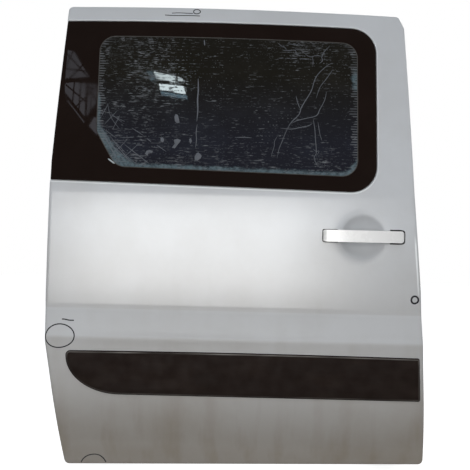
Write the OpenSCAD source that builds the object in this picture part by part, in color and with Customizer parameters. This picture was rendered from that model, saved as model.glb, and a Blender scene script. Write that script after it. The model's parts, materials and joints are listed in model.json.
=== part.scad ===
// Sliding side door of a mid-size van, for the right-hand side.
// +X is the front of the van, +Y its inside and +Z up, so the painted skin faces -Y.
// The origin is on the top face of the lower runner arm's plate. Before the last step,
// X counts from the middle of the door, Y from its outermost surface and Z from its lower edge.

/* [Outline] */
// Overall width of the door
door_w = 1098; // [1060:1:1140]
// Overall height of the door
door_h = 1357; // [1330:1:1400]
// How far the front edge has come in at the knee
front_lean_knee = 19; // [14:1:22]
// How far the front edge has come in at the waistline
front_lean_waist = 41; // [34:1:46]
// How far the front edge has come in at the top
front_lean_top = 66; // [58:1:74]
// How far the rear edge has come in at the waistline
rear_lean_waist = 1; // [0:1:6]
// How far the rear edge has come in at the top
rear_lean_top = 23; // [15:1:32]
// Width of the slope that clears the rear wheel arch
arch_w = 64; // [55:1:75]
// Height at which that slope ends
arch_h = 355; // [335:1:370]
// Rise of the bottom edge from the rear to the front
sill_rise = 24; // [10:1:30]
// Drop of the arched roof edge from its crest to the front
roof_drop = 13; // [8:1:16]
// Radius of the outline's corners
corner_r = 14; // [8:1:20]
// Width of the bevel at the top front corner
bevel_w = 15; // [8:1:20]
// Height of the bevel at the top front corner
bevel_h = 36; // [28:1:44]

/* [Side section] */
// Depth by which the lower edge tucks in
tuck_in = 48; // [38:1:54]
// Height over which it tucks in
tuck_h = 232; // [220:1:245]
// Height of the bulge's upper crease
bulge_top = 371; // [362:1:380]
// Height of the hollow crease above the ledge
crease_z = 457; // [447:1:467]
// Depth of the ledge between those two creases
ledge_in = 22; // [16:1:28]
// Height of the waistline crease
waist_z = 792; // [784:1:800]
// Lean of the panel between the hollow crease and the waistline
panel_lean = 15; // [10:1:20]
// Slope of the panel just above the waistline
waist_slope = 0.17; // [0.14:0.01:0.2]
// How far the top edge lies inside the outermost surface
top_in = 174; // [162:1:187]
// Height over which each crease is softened
crease_soft = 7; // [4:1:9]

/* [Sheet metal] */
// Thickness of the outer skin
skin_t = 1.5; // [1.2:0.1:2]
// Thickness of the inner panel
panel_t = 1.5; // [1.2:0.1:2]
// Width of the folded hem
hem_w = 10; // [8:1:12]
// Depth of the lower inner face
inner_y = 95; // [90:1:100]
// Depth of the window frame behind the skin
frame_d = 42; // [38:1:46]
// Distance from the edge of the skin to the shut face
shut_step = 22; // [20:1:26]

/* [Window] */
// Thickness of the glass
glass_t = 4; // [3.2:0.1:5]
// Thickness of the adhesive behind the glass
bead_t = 3; // [2:0.5:4]
// Height of the painted strip above the glass
roof_strip = 45; // [38:1:52]
// Width of the painted column in front of the glass, at the waistline
column_w = 108; // [98:1:125]
// Height of the painted strip between the waistline and the glass
waist_strip = 11; // [10:1:20]
// Rise of the glass's lower edge towards the rear
glass_rake = 20; // [8:1:26]
// Radius of the glass's front corners
glass_r = 78; // [60:1:85]
// Gap round the glass
glass_gap = 2; // [1.5:0.5:3]
// Width of the black border along the rear edge
border_rear = 127; // [116:1:134]
// Width of the black border at the front
border_front = 56; // [46:1:64]
// Width of the black border along the top
border_top = 48; // [40:1:56]
// Width of the black border along the bottom
border_bottom = 47; // [40:1:54]
// Radius of the clear window's corners
clear_r = 48; // [35:1:55]
// Width of the cut at the clear window's lower rear corner
clear_cut_w = 62; // [50:1:74]
// Height of the cut at the clear window's lower rear corner
clear_cut_h = 118; // [100:1:130]

/* [Side moulding] */
// Gap between the bulge's upper crease and the moulding
mould_drop = 36; // [30:1:44]
// Height of the moulding
mould_h = 123; // [110:1:130]
// Distance from the door's rear edge to the moulding's rear tip
mould_rear = 57; // [47:1:67]
// Distance from the door's front edge to the moulding
mould_front = 11; // [8:1:16]
// Length of the sweep at the moulding's rear end
mould_sweep = 155; // [130:1:175]
// Rise of the arch in the moulding's top edge
mould_crown = 3; // [0:0.5:5]
// Height of the moulding above the skin
mould_t = 9; // [7:1:11]
// Wall of the moulding
mould_wall = 2.5; // [2:0.5:3]

/* [Handle] */
// Distance from the waistline down to the middle of the handle
handle_drop = 113; // [108:1:118]
// Distance from the door's front edge to the handle
handle_gap = 42; // [38:1:46]
// Overall length of the handle
handle_len = 231; // [220:1:240]
// Height of the grip
handle_h = 34; // [32:1:38]
// Distance that the grip stands out from the skin
handle_out = 28; // [26:1:30]
// Radius of the finger cup's rim
cup_r = 64; // [60:1:70]
// Depth of the finger cup
cup_d = 30; // [26:1:32]
// Distance from the handle's front end to the middle of the cup
cup_back = 115; // [110:1:120]
// Radius of the hinge pin
pin_r = 3; // [2.5:0.5:3.5]
// Radial clearance of the hinge pin in the grip
pin_play = 0.05; // [0.03:0.01:0.08]

/* [Runner arms] */
// Radius of the load rollers
load_r = 19; // [17:1:21]
// Width of the load rollers
load_w = 12; // [10:1:14]
// Radius of the guide rollers
guide_r = 12; // [10:1:13]
// Height of the guide rollers
guide_h = 12; // [10:1:14]
// Thickness of the runner arms' plates
arm_t = 5; // [4:0.5:6]
// Reach of the lower arm from the inner face
lower_reach = 165; // [155:1:180]
// Width of the lower arm where it meets the door
lower_w = 100; // [90:1:108]
// Reach of the middle arm from the inner face
middle_reach = 110; // [104:1:125]
// Reach of the upper arm from the window frame
upper_reach = 80; // [70:1:95]

/* [Hidden] */
$fn = 48;

// Small distance that keeps one solid clear of the next
seat = 0.3;
// Distances past the outside and the inside of the door, for cuts that go right through
before = -60;
beyond = 300;
half_w = door_w / 2;
reach = half_w + 20;

// Side section: depth of the painted surface at height z
lean_h = door_h - waist_z;
top_curl = (top_in - ledge_in - panel_lean - waist_slope * lean_h) / pow(lean_h, 2);
function sharp_y(z) =
    z < tuck_h ? tuck_in * pow((tuck_h - z) / tuck_h, 2) :
    z < bulge_top ? 0 :
    z < crease_z ? ledge_in * (z - bulge_top) / (crease_z - bulge_top) :
    z < waist_z ? ledge_in + panel_lean * pow((z - crease_z) / (waist_z - crease_z), 2) :
    ledge_in + panel_lean + waist_slope * (z - waist_z) + top_curl * pow(z - waist_z, 2);
function out_y(z) = (sharp_y(z - crease_soft) + 2 * sharp_y(z) + sharp_y(z + crease_soft)) / 4;
function in_y(z) = max(inner_y, out_y(z) + frame_d);

// Heights at which the side section is drawn: close together at a crease, further apart between
function spread(a, b, n) = [for (i = [0:n - 1]) a + (b - a) * i / n];
function crease(z) = [z - crease_soft, z, z + crease_soft];
heights = concat(
    spread(-10, tuck_h, 7), [tuck_h], crease(bulge_top), crease(crease_z),
    spread(crease_z + 3 * crease_soft, waist_z - 2 * crease_soft, 6), crease(waist_z),
    spread(waist_z + 3 * crease_soft, door_h + 10, 12), [door_h + 10]);
function skin_line(d) = [for (z = heights) [out_y(z) + d, z]];
function face_line(d) = [for (z = heights) [in_y(z) + d, z]];
function reversed(list) = [for (i = [len(list) - 1:-1:0]) list[i]];

// Body as wide as the door, between two lines of the side section
module between(front, back) translate([-reach, 0, 0]) rotate([90, 0, 90]) linear_extrude(2 * reach)
    polygon(concat(front, reversed(back)));
module skin_slab(d0, d1) between(skin_line(d0), skin_line(d1));
module face_slab(d0, d1) between(face_line(d0), face_line(d1));

// Drawing made in X and Z, laid across the door from one depth to another
module across(y0 = before, y1 = beyond) translate([0, y1, 0]) rotate([90, 0, 0])
    linear_extrude(y1 - y0) children();

// Cylinder along +Y from a point, and a box from one corner to the other
module along_y(p, r, h) translate(p) rotate([-90, 0, 0]) cylinder(r = r, h = h);
module along_x(p, r, h) translate(p) rotate([0, 90, 0]) cylinder(r = r, h = h);
module block(a, b) translate(a) cube(b - a);

// Drawing with its convex corners rounded
module rounded(r) offset(r) offset(delta = -r) children();

// Outline of the door: how far its front and rear edges lie from the middle at height z
knee_z = crease_z + 63;
front_z = waist_z + 8;
rear_z = waist_z + 88;
arch_lean = 5.5;
arch_end = arch_h + 120;
function front_x(z) = half_w - lookup(z, [[0, 0], [knee_z, front_lean_knee], [front_z, front_lean_waist],
    [door_h, front_lean_top]]);
function rear_x(z) = -half_w + lookup(z, [[0, arch_w], [arch_h, arch_lean], [arch_end, 0],
    [rear_z, rear_lean_waist], [door_h, rear_lean_top]]);

// Arch of the roof edge, which the top of the glass follows: how far it has dropped from its crest at x
crest_x = -0.24 * half_w;
function drop(x) = roof_drop * pow((x - crest_x) / (front_x(door_h) - crest_x), 2);
function arch(x0, x1, z, n) = [for (i = [0:n]) let (x = x0 + (x1 - x0) * i / n) [x, z - drop(x)]];
rear_top = [rear_x(door_h), door_h - drop(rear_x(door_h))];

module outline() rounded(corner_r) polygon(concat(
    [[rear_x(0), 0], [front_x(0), sill_rise]],
    [for (z = [knee_z, front_z, door_h - roof_drop - bevel_h]) [front_x(z), z]],
    arch(front_x(door_h) - bevel_w, rear_top[0], door_h, 9),
    [for (z = [rear_z, arch_end, arch_h]) [rear_x(z), z]]));
module inset(d) offset(delta = -d) outline();
module rim(d0, d1) difference() {
    inset(d0);
    inset(d1);
}

// Glass and its pocket in the skin, which runs out over the rear edge
glass_front = front_x(front_z) - column_w;
glass_low = waist_z + waist_strip;
glass_high = door_h - roof_strip;
glass_seat = glass_t + bead_t;
past_edge = half_w + 2 * glass_r;
module glass_pocket(grow = 0) offset(delta = grow) rounded(glass_r) polygon(concat(
    [[-past_edge, glass_low + glass_rake], [glass_front, glass_low]],
    arch(glass_front, -half_w, glass_high, 8), [[-past_edge, glass_high - drop(-half_w)]]));

// Clear part of the window, inside the black border
clear_rear = -half_w + border_rear;
clear_front = glass_front - border_front;
clear_low = glass_low + border_bottom;
clear_high = glass_high - border_top;
clear_rake = glass_rake * (clear_front - clear_rear) / (glass_front + past_edge);
module clear_window(grow = 0) offset(delta = grow) rounded(clear_r) polygon(concat(
    [[clear_rear + clear_cut_w, clear_low + clear_rake], [clear_front, clear_low]],
    arch(clear_front, clear_rear - 4, clear_high, 6), [[clear_rear, clear_low + clear_cut_h]]));

// Finger cup: part of a sphere whose rim lies in the skin
handle_z = waist_z - handle_drop;
handle_front = front_x(handle_z) - handle_gap;
handle_rear = handle_front - handle_len;
skin_y = out_y(handle_z);
cup_x = handle_front - cup_back;
cup_z = handle_z;
cup_ball_r = (cup_r * cup_r + cup_d * cup_d) / (2 * cup_d);
cup_y = skin_y + cup_d - cup_ball_r;
module cup_ball(r) translate([cup_x, cup_y, cup_z]) sphere(r, $fn = 96);

// Slot for the grip's stem, with room for its swing
stem_w = 9;
stem_h = 16;
stem_d = 24;
stem_x = handle_rear + 24;
slot_gap = 5;
slot_swing = 7;
module stem_slot() translate([0, 0, handle_z]) block(
    [stem_x - stem_w / 2 - slot_gap - slot_swing, 0, -stem_h / 2 - slot_gap],
    [stem_x + stem_w / 2 + slot_gap, skin_y + 20, stem_h / 2 + slot_gap]);

module outer_skin() color("whitesmoke") difference() {
    union() {
        // Painted surface
        difference() {
            intersection() {
                skin_slab(0, skin_t);
                across() outline();
            }
            across() glass_pocket();
            cup_ball(cup_ball_r);
        }
        // Hem folded round its edge
        intersection() {
            skin_slab(skin_t, 2 * skin_t);
            across() difference() {
                rim(0, hem_w);
                glass_pocket(skin_t);
            }
        }
        // Step down into the glass's pocket
        intersection() {
            skin_slab(0, glass_seat + skin_t);
            across() intersection() {
                outline();
                difference() {
                    glass_pocket(skin_t);
                    glass_pocket();
                }
            }
        }
        // Floor of the pocket, round the clear window
        intersection() {
            skin_slab(glass_seat, glass_seat + skin_t);
            across() difference() {
                intersection() {
                    outline();
                    glass_pocket(skin_t / 2);
                }
                clear_window();
            }
        }
        // Finger cup
        intersection() {
            difference() {
                cup_ball(cup_ball_r + skin_t);
                cup_ball(cup_ball_r);
            }
            skin_slab(0, 2 * cup_d);
        }
    }
    stem_slot();
}

// Latches behind the shut faces, each with a mouth for its striker
latch_z = bulge_top + 239;
latch_w = 75;
latch_h = 100;
latch_y = 38;
mouth_y = 60;
mouth_h = 26;
mouth_w = 34;
mouth_gap = 2;
latch_edges = [front_x(latch_z) - shut_step, rear_x(latch_z) + shut_step];
module mouth(x, grow) block([x - mouth_w, mouth_y - grow, latch_z - mouth_h / 2 - grow],
    [x + mouth_w, beyond, latch_z + mouth_h / 2 + grow]);
module latch(x0, x1, edge) difference() {
    intersection() {
        block([x0, latch_y, latch_z - latch_h / 2], [x1, latch_y + 50, latch_z + latch_h / 2]);
        across() inset(shut_step + panel_t);
    }
    mouth(edge, 0);
}
module front_latch() color("dimgray") latch(latch_edges[0] - latch_w, latch_edges[0], latch_edges[0]);
module rear_latch() color("dimgray") latch(latch_edges[1], latch_edges[1] + latch_w, latch_edges[1]);

module shut_faces() color("gainsboro") difference() {
    union() {
        // Walls round the edge
        intersection() {
            between(skin_line(skin_t), face_line(-panel_t));
            across() rim(shut_step, shut_step + panel_t);
        }
        // Flange that the hem holds
        intersection() {
            skin_slab(skin_t, skin_t + panel_t);
            across() rim(hem_w + seat, shut_step + panel_t);
        }
    }
    // Room for the glass's pocket
    intersection() {
        skin_slab(0, glass_seat + skin_t);
        across() glass_pocket(skin_t + seat);
    }
    for (x = latch_edges) mouth(x, mouth_gap);
}

// Height at which the inner panel meets the window frame
split_z = waist_z + 23;
module above_split() translate([-reach, split_z]) square(2 * reach);

// Openings for reaching the inside of the door, between upright bars
opening_low = shut_step + 128;
opening_high = crease_z + 103;
opening_r = 38;
opening_lip = 8;
opening_rear = 103;
opening_front = 125;
bar_x = [-150, 170];
bar_w = 60;
rear_rise = 60;
front_rise = 20;
front_drop = 90;
bar_drop = 30;
module access_openings(grow = 0) offset(delta = grow) rounded(opening_r) {
    rear_bar = bar_x[0] - bar_w / 2;
    front_bar = bar_x[1] + bar_w / 2;
    polygon([
        [rear_x(opening_low + rear_rise) + opening_rear, opening_low + rear_rise], [rear_bar, opening_low],
        [rear_bar, opening_high], [rear_x(opening_high) + opening_rear, opening_high]]);
    translate([rear_bar + bar_w, opening_low])
        square([front_bar - rear_bar - 2 * bar_w, opening_high - opening_low]);
    polygon([
        [front_bar, opening_low], [front_x(opening_low) - opening_front, opening_low + front_rise],
        [front_x(opening_high) - opening_front, opening_high - front_drop],
        [front_bar, opening_high - bar_drop]]);
}

// Stiffening dishes pressed into the inner panel, each as its low and high corner in X and Z
dish_d = 5;
dish_r = 11;
dish_z = opening_high + 80;
dish_h = 70;
dish_rear = 190;
dish_front = 55;
dishes = [
    for (x = bar_x) [[x - dish_r - 1, opening_low + opening_r], [x + dish_r + 1, opening_high - opening_r]],
    [[rear_x(latch_z) + dish_rear, dish_z], [handle_rear - dish_front, dish_z + dish_h]]
];
module dish(corners, grow) translate(corners[0]) offset(delta = grow) rounded(dish_r)
    square(corners[1] - corners[0]);

// Drain and wiring holes, closed by rubber plugs
plug_r = 12;
plug_rear = 120;
plug_front = 140;
plug_drop = 45;
plug_pitch = 300;
plug_z = latch_z - 15;
plug_places = [[-half_w + plug_rear, plug_z], [half_w - plug_front, plug_z],
    for (i = [-1:1]) [i * plug_pitch, opening_low - plug_drop]];

module inner_panel() color("gainsboro") difference() {
    union() {
        intersection() {
            face_slab(-panel_t, 0);
            across() difference() {
                inset(shut_step);
                above_split();
            }
        }
        across(inner_y - opening_lip, inner_y) difference() {
            access_openings(panel_t);
            access_openings();
        }
        for (d = dishes) across(inner_y - panel_t - dish_d, inner_y) dish(d, panel_t);
    }
    across(inner_y - opening_lip - 1) access_openings();
    for (d = dishes) across(inner_y - dish_d) dish(d, 0);
    for (p = plug_places) along_y([p[0], inner_y - 20, p[1]], plug_r, 30);
    for (x = latch_edges) mouth(x, mouth_gap);
}

// Inner face round the window, with the window's return
module window_frame() color("gainsboro") {
    intersection() {
        face_slab(-panel_t, 0);
        across() difference() {
            intersection() {
                inset(shut_step);
                above_split();
            }
            clear_window();
        }
    }
    intersection() {
        between(skin_line(glass_seat + skin_t), face_line(0));
        across() difference() {
            clear_window(panel_t);
            clear_window();
        }
    }
}

module window_glass() color("black", 0.85) intersection() {
    skin_slab(0, glass_t);
    across() intersection() {
        inset(glass_gap);
        glass_pocket(-glass_gap);
    }
}

module glass_adhesive() color("black") intersection() {
    skin_slab(glass_t, glass_seat);
    across() difference() {
        clear_window(22);
        clear_window(8);
    }
}

// Moulding with a swept rear end and a front end that follows the door's edge
mould_top = bulge_top - mould_drop;
mould_low = mould_top - mould_h;
mould_tip = rear_x(mould_top) + mould_rear;
tip_h = 14;
mould_end = front_x(mould_top) - mould_front;
mould_start = mould_tip + 24;
function swept(a) = [mould_tip + mould_sweep * (1 - cos(a)), mould_top - tip_h - (mould_h - tip_h) * sin(a)];
function crowned(i) = [mould_end + (mould_start - mould_end) * i / 6, mould_top + mould_crown * sin(30 * i)];
module moulding_outline() rounded(5) polygon([
    for (a = [0:9:90]) swept(a),
    [front_x(mould_low) - mould_front, mould_low],
    for (i = [0:6]) crowned(i)]);
module side_moulding() color("darkslategray") difference() {
    intersection() {
        skin_slab(-mould_t, -seat);
        across() moulding_outline();
    }
    intersection() {
        skin_slab(-mould_t + mould_wall, 1);
        across() offset(delta = -mould_wall) moulding_outline();
    }
}

// Pads that carry the two ends of the handle
pad_t = 4;
gasket_t = 2;
gasket_edge = 2;
front_pad = [handle_front - 37, handle_front];
rear_pad = [handle_rear, handle_rear + 44];
module pad(ends, grow = 0) across() translate([ends[0] - grow, handle_z - handle_h / 2 - grow])
    rounded(6) square([ends[1] - ends[0] + 2 * grow, handle_h + 2 * grow]);

module handle_gaskets() color("black") difference() {
    intersection() {
        skin_slab(-gasket_t, 0);
        union() {
            pad(front_pad, gasket_edge);
            pad(rear_pad, gasket_edge);
        }
    }
    stem_slot();
}

// Hinge of the handle: a lug on the front pad, and a pin that the grip turns on
pivot = [handle_front - 19, skin_y - 13];
lug_r = 8;
lug_h = 16;
lug_play = 1;
module pin_hole(r) translate([pivot[0], pivot[1], handle_z - handle_h]) cylinder(r = r, h = 2 * handle_h);

module handle_front_mount() color("whitesmoke") difference() {
    union() {
        intersection() {
            skin_slab(-gasket_t - pad_t, -gasket_t);
            pad(front_pad);
        }
        translate([pivot[0], pivot[1], handle_z - lug_h / 2]) {
            cylinder(r = lug_r, h = lug_h);
            block([-lug_r, 0, 0], [lug_r, skin_y - gasket_t - pad_t + 1 - pivot[1], lug_h]);
        }
    }
    pin_hole(pin_r);
}

module handle_rear_mount() color("whitesmoke") difference() {
    intersection() {
        skin_slab(-gasket_t - pad_t, -gasket_t);
        pad(rear_pad);
    }
    stem_slot();
}

module handle_pin() color("silver") translate([pivot[0], pivot[1], handle_z - handle_h / 2 + 1])
    cylinder(r = pin_r, h = handle_h - 2);

// Bow of the grip: how far its outer and inner side stand off the skin at x
handle_mid = (handle_front + handle_rear) / 2;
grip_end = 19;
grip_clear = gasket_t + pad_t + 5;
function along(x) = (x - handle_mid) / (handle_len / 2);
function grip_outer(x) = grip_end + (handle_out - grip_end) * sqrt(max(0, 1 - pow(along(x), 4)));
function grip_inner(x) = grip_clear + 3 * (1 - pow(along(x), 2)) + max(0, (x - pivot[0] + 4) / 5);
grip_xs = [for (a = [0:7.5:180]) handle_mid + handle_len / 2 * cos(a)];

module handle_grip() color("whitesmoke") difference() {
    union() {
        intersection() {
            translate([0, 0, handle_z - handle_h / 2]) linear_extrude(handle_h) polygon(concat(
                [for (x = grip_xs) [x, skin_y - grip_outer(x)]],
                [for (x = reversed(grip_xs)) [x, skin_y - grip_inner(x)]]));
            across() translate([handle_rear, handle_z - handle_h / 2])
                rounded(9) square([handle_len, handle_h]);
        }
        // Stem that works the latches
        translate([0, 0, handle_z]) block([stem_x - stem_w / 2, skin_y - grip_clear - 4, -stem_h / 2],
            [stem_x + stem_w / 2, skin_y + stem_d, stem_h / 2]);
    }
    // Room for the lug
    translate([pivot[0], pivot[1], handle_z - lug_h / 2 - lug_play]) {
        cylinder(r = lug_r + lug_play, h = lug_h + 2 * lug_play);
        block([-lug_r - 2, 0, 0], [lug_r + 4, 30, lug_h + 2 * lug_play]);
    }
    pin_hole(pin_r + pin_play);
}

// Tube across the door behind the ledge, and the saddles that hold its ends
beam_r = 17;
beam_wall = 2.5;
beam_z = (bulge_top + crease_z) / 2;
beam_y = inner_y - 43;
beam_ends = [rear_x(beam_z) + shut_step + 20, front_x(beam_z) - shut_step - 20];
saddle_w = 60;
module impact_beam() color("slategray") difference() {
    along_x([beam_ends[0], beam_y, beam_z], beam_r, beam_ends[1] - beam_ends[0]);
    along_x([beam_ends[0] - 1, beam_y, beam_z], beam_r - beam_wall, beam_ends[1] - beam_ends[0] + 2);
}
module beam_brackets() color("slategray") difference() {
    for (x = [beam_ends[0] + 4, beam_ends[1] - saddle_w - 4])
        block([x, beam_y, beam_z - beam_r - 12], [x + saddle_w, inner_y - panel_t, beam_z + beam_r + 12]);
    along_x([-half_w, beam_y, beam_z], beam_r, door_w);
}

// Channel that stiffens the door along the waistline
rail_drop = 40;
rail_h = 48;
rail_back = 14;
rail_low = waist_z - rail_drop;
rail_high = rail_low + rail_h;
rail_y = out_y(rail_low) + skin_t + rail_back;
rail_wall = 2;
rail_gap = 12;
rail_ends = [rear_x(rail_low) + shut_step + rail_gap, front_x(rail_high) - shut_step - rail_gap];
module waist_rail() color("gainsboro") difference() {
    block([rail_ends[0], rail_y, rail_low], [rail_ends[1], inner_y - panel_t, rail_high]);
    block([-half_w, rail_y + rail_wall, rail_low + rail_wall], [half_w, inner_y, rail_high - rail_wall]);
}

// Rubber seal on the inner face: a flat foot with a narrower bulb on it
seal_inset = 50;
seal_drop = 20;
seal_low = opening_low - seal_drop;
seal_top = 66;
seal_w = 12;
seal_foot = 4;
seal_h = 13;
module seal_line(grow) offset(delta = -grow) rounded(60) intersection() {
    inset(seal_inset);
    translate([0, seal_inset - seal_top]) inset(seal_inset);
    translate([-reach, seal_low]) square([2 * reach, door_h]);
}
module seal_ring(d0, d1, grow) intersection() {
    face_slab(d0, d1);
    across() difference() {
        seal_line(grow);
        seal_line(seal_w - grow);
    }
}
module weatherstrip() color("black") {
    seal_ring(0, seal_foot, 0);
    seal_ring(seal_foot, seal_h - 2, 2);
    seal_ring(seal_h - 2, seal_h, 4);
}

// Roller on its stub, standing along +Z, with the head of its rivet on top
stub_h = 2;
module roller(r, w) rotate_extrude() polygon([
    [0, 0], [5, 0], [5, stub_h], [r - 1, stub_h], [r, stub_h + 1], [r, stub_h + w - 1],
    [r - 1, stub_h + w], [4, stub_h + w], [4, stub_h + w + 1.5], [0, stub_h + w + 1.5]]);
roller_pitch = 28;

// Upper arm, near the top front corner
upper_x = front_x(door_h) - 86;
upper_z = door_h - roof_drop - 54;
upper_top = upper_z + arm_t;
upper_tip = in_y(upper_z) + upper_reach;
upper_eye = 14;
upper_foot_w = 70;
upper_foot_h = 34;
upper_root = 30;
module upper_arm() color("dimgray") {
    intersection() {
        face_slab(0, arm_t);
        block([upper_x - upper_foot_w / 2, 0, upper_z],
            [upper_x + upper_foot_w / 2, beyond, upper_z + upper_foot_h]);
    }
    translate([upper_x, 0, upper_z]) linear_extrude(arm_t) {
        polygon([
            [-upper_root, in_y(upper_top) + seat], [upper_root, in_y(upper_top) + seat],
            [upper_eye, upper_tip], [-upper_eye, upper_tip]]);
        translate([0, upper_tip]) circle(upper_eye);
    }
}
module upper_roller() color("dimgray") translate([upper_x, upper_tip, upper_top]) roller(guide_r, guide_h);

// Middle arm, near the rear edge, whose carriage swivels on a pin
middle_x = rear_x(waist_z) + 92;
middle_z = handle_z + 56;
middle_h = 24;
middle_y = inner_y + middle_reach - 25;
middle_foot = [-27, 63];
foot_half = 30;
eye_r = 14;
swivel_r = 5;
fork_low = middle_z - middle_h / 2 - arm_t - seat;
fork_high = middle_z + middle_h / 2 + seat;
plate_y = 26;
module middle_arm() color("dimgray") {
    block([middle_x + middle_foot[0], inner_y, middle_z - foot_half],
        [middle_x + middle_foot[1], inner_y + arm_t, middle_z + foot_half]);
    difference() {
        translate([middle_x, 0, middle_z - middle_h / 2]) linear_extrude(middle_h) {
            polygon([[-22, inner_y + arm_t], [50, inner_y + arm_t], [eye_r, middle_y], [-eye_r, middle_y]]);
            translate([0, middle_y]) circle(eye_r);
        }
        translate([middle_x, middle_y, fork_low]) cylinder(r = swivel_r, h = 2 * middle_h);
    }
}
module middle_carriage() color("silver") translate([middle_x, middle_y, 0]) {
    block([-16, -16, fork_low], [16, plate_y + arm_t, fork_low + arm_t]);
    block([-42, 2, fork_high], [42, plate_y + arm_t, fork_high + arm_t]);
    block([-16, -16, fork_high], [16, 3, fork_high + arm_t]);
    block([-30, plate_y, fork_low], [30, plate_y + arm_t, fork_high + arm_t]);
    translate([0, 0, fork_low]) cylinder(r = swivel_r - pin_play, h = fork_high + arm_t - fork_low);
}
module middle_guide_rollers() color("dimgray") for (x = [-roller_pitch, roller_pitch])
    translate([middle_x + x, middle_y + 14, fork_high + arm_t]) roller(guide_r, guide_h);
module middle_load_roller() color("dimgray")
    translate([middle_x, middle_y + plate_y + arm_t, middle_z]) rotate([-90, 0, 0]) roller(load_r, load_w);

// Lower arm, near the bottom front corner; the top face of its plate holds the origin
lower_x = half_w - 80;
lower_z = shut_step + 62;
lower_drop = 12;
lower_taper = 14;
platform_w = 48;
foot_h = 64;
tab_w = 32;
tab_h = 30;
lower_end = inner_y + lower_reach;
plate_end = lower_end - platform_w;
lower_y = (inner_y + plate_end) / 2;
lower_tip = lower_w - lower_taper;
platform_z = lower_z - lower_drop - arm_t;
arm_side = 3;
module lower_plan() polygon([[-lower_w / 2, inner_y + arm_t], [lower_w / 2, inner_y + arm_t],
    [lower_tip / 2, plate_end], [-lower_tip / 2, plate_end]]);
module lower_arm() color("dimgray") translate([lower_x, 0, 0]) {
    // Foot on the inner face, and the plate with its turned edge
    block([-lower_w / 2 - 2, inner_y, lower_z - foot_h / 2],
        [lower_w / 2 + 2, inner_y + arm_t, lower_z + foot_h / 2]);
    translate([0, 0, lower_z - arm_t]) linear_extrude(arm_t) lower_plan();
    translate([0, 0, platform_z]) linear_extrude(lower_drop + 1) difference() {
        lower_plan();
        offset(delta = -arm_side) lower_plan();
    }
    // Dropped platform and tab that carry the rollers
    block([-lower_tip / 2, plate_end - arm_side, platform_z],
        [lower_tip / 2, lower_end, platform_z + arm_t]);
    block([-tab_w / 2, lower_end - arm_t, platform_z - tab_h], [tab_w / 2, lower_end, platform_z + 1]);
}
guide_back = 22;
load_drop = 14;
module lower_guide_rollers() color("dimgray") for (x = [-roller_pitch, roller_pitch])
    translate([lower_x + x, lower_end - guide_back, platform_z + arm_t]) roller(guide_r, guide_h);
module lower_load_roller() color("dimgray")
    translate([lower_x, lower_end, platform_z - load_drop]) rotate([-90, 0, 0]) roller(load_r, load_w);

// Relay that the grip's stem works, and the rods from it to the latches
relay_x = [stem_x - 50, stem_x + 60];
relay_z = [handle_z - 70, handle_z + 20];
relay_d = 26;
rod_r = 3;
rod_rise = 30;
rod_depth = 18;
rod_z = latch_z + rod_rise;
rod_y = inner_y - rod_depth;
module latch_relay() color("dimgray")
    across(inner_y - panel_t - relay_d, inner_y - panel_t) translate([relay_x[0], relay_z[0]])
        rounded(8) square([relay_x[1] - relay_x[0], relay_z[1] - relay_z[0]]);
module latch_rods() color("silver") {
    rear_end = latch_edges[1] + latch_w;
    front_end = latch_edges[0] - latch_w;
    along_x([rear_end, rod_y, rod_z], rod_r, relay_x[0] - rear_end);
    along_x([relay_x[1], rod_y, rod_z], rod_r, front_end - relay_x[1]);
}

// Blocks on the shut faces that centre the closed door
dowel_out = 14;
dowel_back = 24;
dowel_w = 20;
dowel_h = 24;
dowel_z = [bulge_top - 71, waist_z + 328];
wedge_w = 24;
wedge_h = 36;
block_reach = 45;
module shut_block(x, z, w, h) intersection() {
    block([x - block_reach, in_y(z) - dowel_back - w / 2, z - h / 2],
        [x + block_reach, in_y(z) - dowel_back + w / 2, z + h / 2]);
    across() rim(shut_step - dowel_out, shut_step);
}
module front_dowels() color("black") for (z = dowel_z)
    shut_block(front_x(z) - shut_step, z, dowel_w, dowel_h);
module rear_wedge() color("black") shut_block(rear_x(arch_end) + shut_step, arch_end, wedge_w, wedge_h);

// Rubber buffers on the inner face, inside the seal
bump_r = 13;
bump_taper = 3;
bump_h = 14;
bump_in = 91;
bump_up = 51;
bump_z = seal_low + bump_up;
module bump_stops() color("black") for (x = [rear_x(bump_z) + bump_in, front_x(bump_z) - bump_in])
    translate([x, inner_y, bump_z]) rotate([-90, 0, 0])
        cylinder(r1 = bump_r, r2 = bump_r - bump_taper, h = bump_h);

plug_lip = 3;
plug_t = 2;
module hole_plugs() color("black") for (p = plug_places)
    along_y([p[0], inner_y, p[1]], plug_r + plug_lip, plug_t);

// Brings the top face of the lower arm's plate to the origin
module placed() translate([-lower_x, -lower_y, -lower_z]) children();

placed() outer_skin();
placed() shut_faces();
placed() inner_panel();
placed() window_frame();
placed() window_glass();
placed() glass_adhesive();
placed() side_moulding();
placed() handle_gaskets();
placed() handle_front_mount();
placed() handle_rear_mount();
placed() handle_pin();
placed() handle_grip();
placed() impact_beam();
placed() beam_brackets();
placed() waist_rail();
placed() weatherstrip();
placed() upper_arm();
placed() upper_roller();
placed() middle_arm();
placed() middle_carriage();
placed() middle_guide_rollers();
placed() middle_load_roller();
placed() lower_arm();
placed() lower_guide_rollers();
placed() lower_load_roller();
placed() front_latch();
placed() rear_latch();
placed() latch_relay();
placed() latch_rods();
placed() front_dowels();
placed() rear_wedge();
placed() bump_stops();
placed() hole_plugs();
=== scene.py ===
"""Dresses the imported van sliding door, and lights it as in the photograph.

Door coordinates are millimetres: X from the door's middle, Y from its outermost surface
and Z from its lower edge. The row frame is those less ORIGIN, in metres.
"""

import json
import math

import bmesh
import bpy
import numpy as np
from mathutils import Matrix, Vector
from mathutils.geometry import delaunay_2d_cdt


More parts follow.
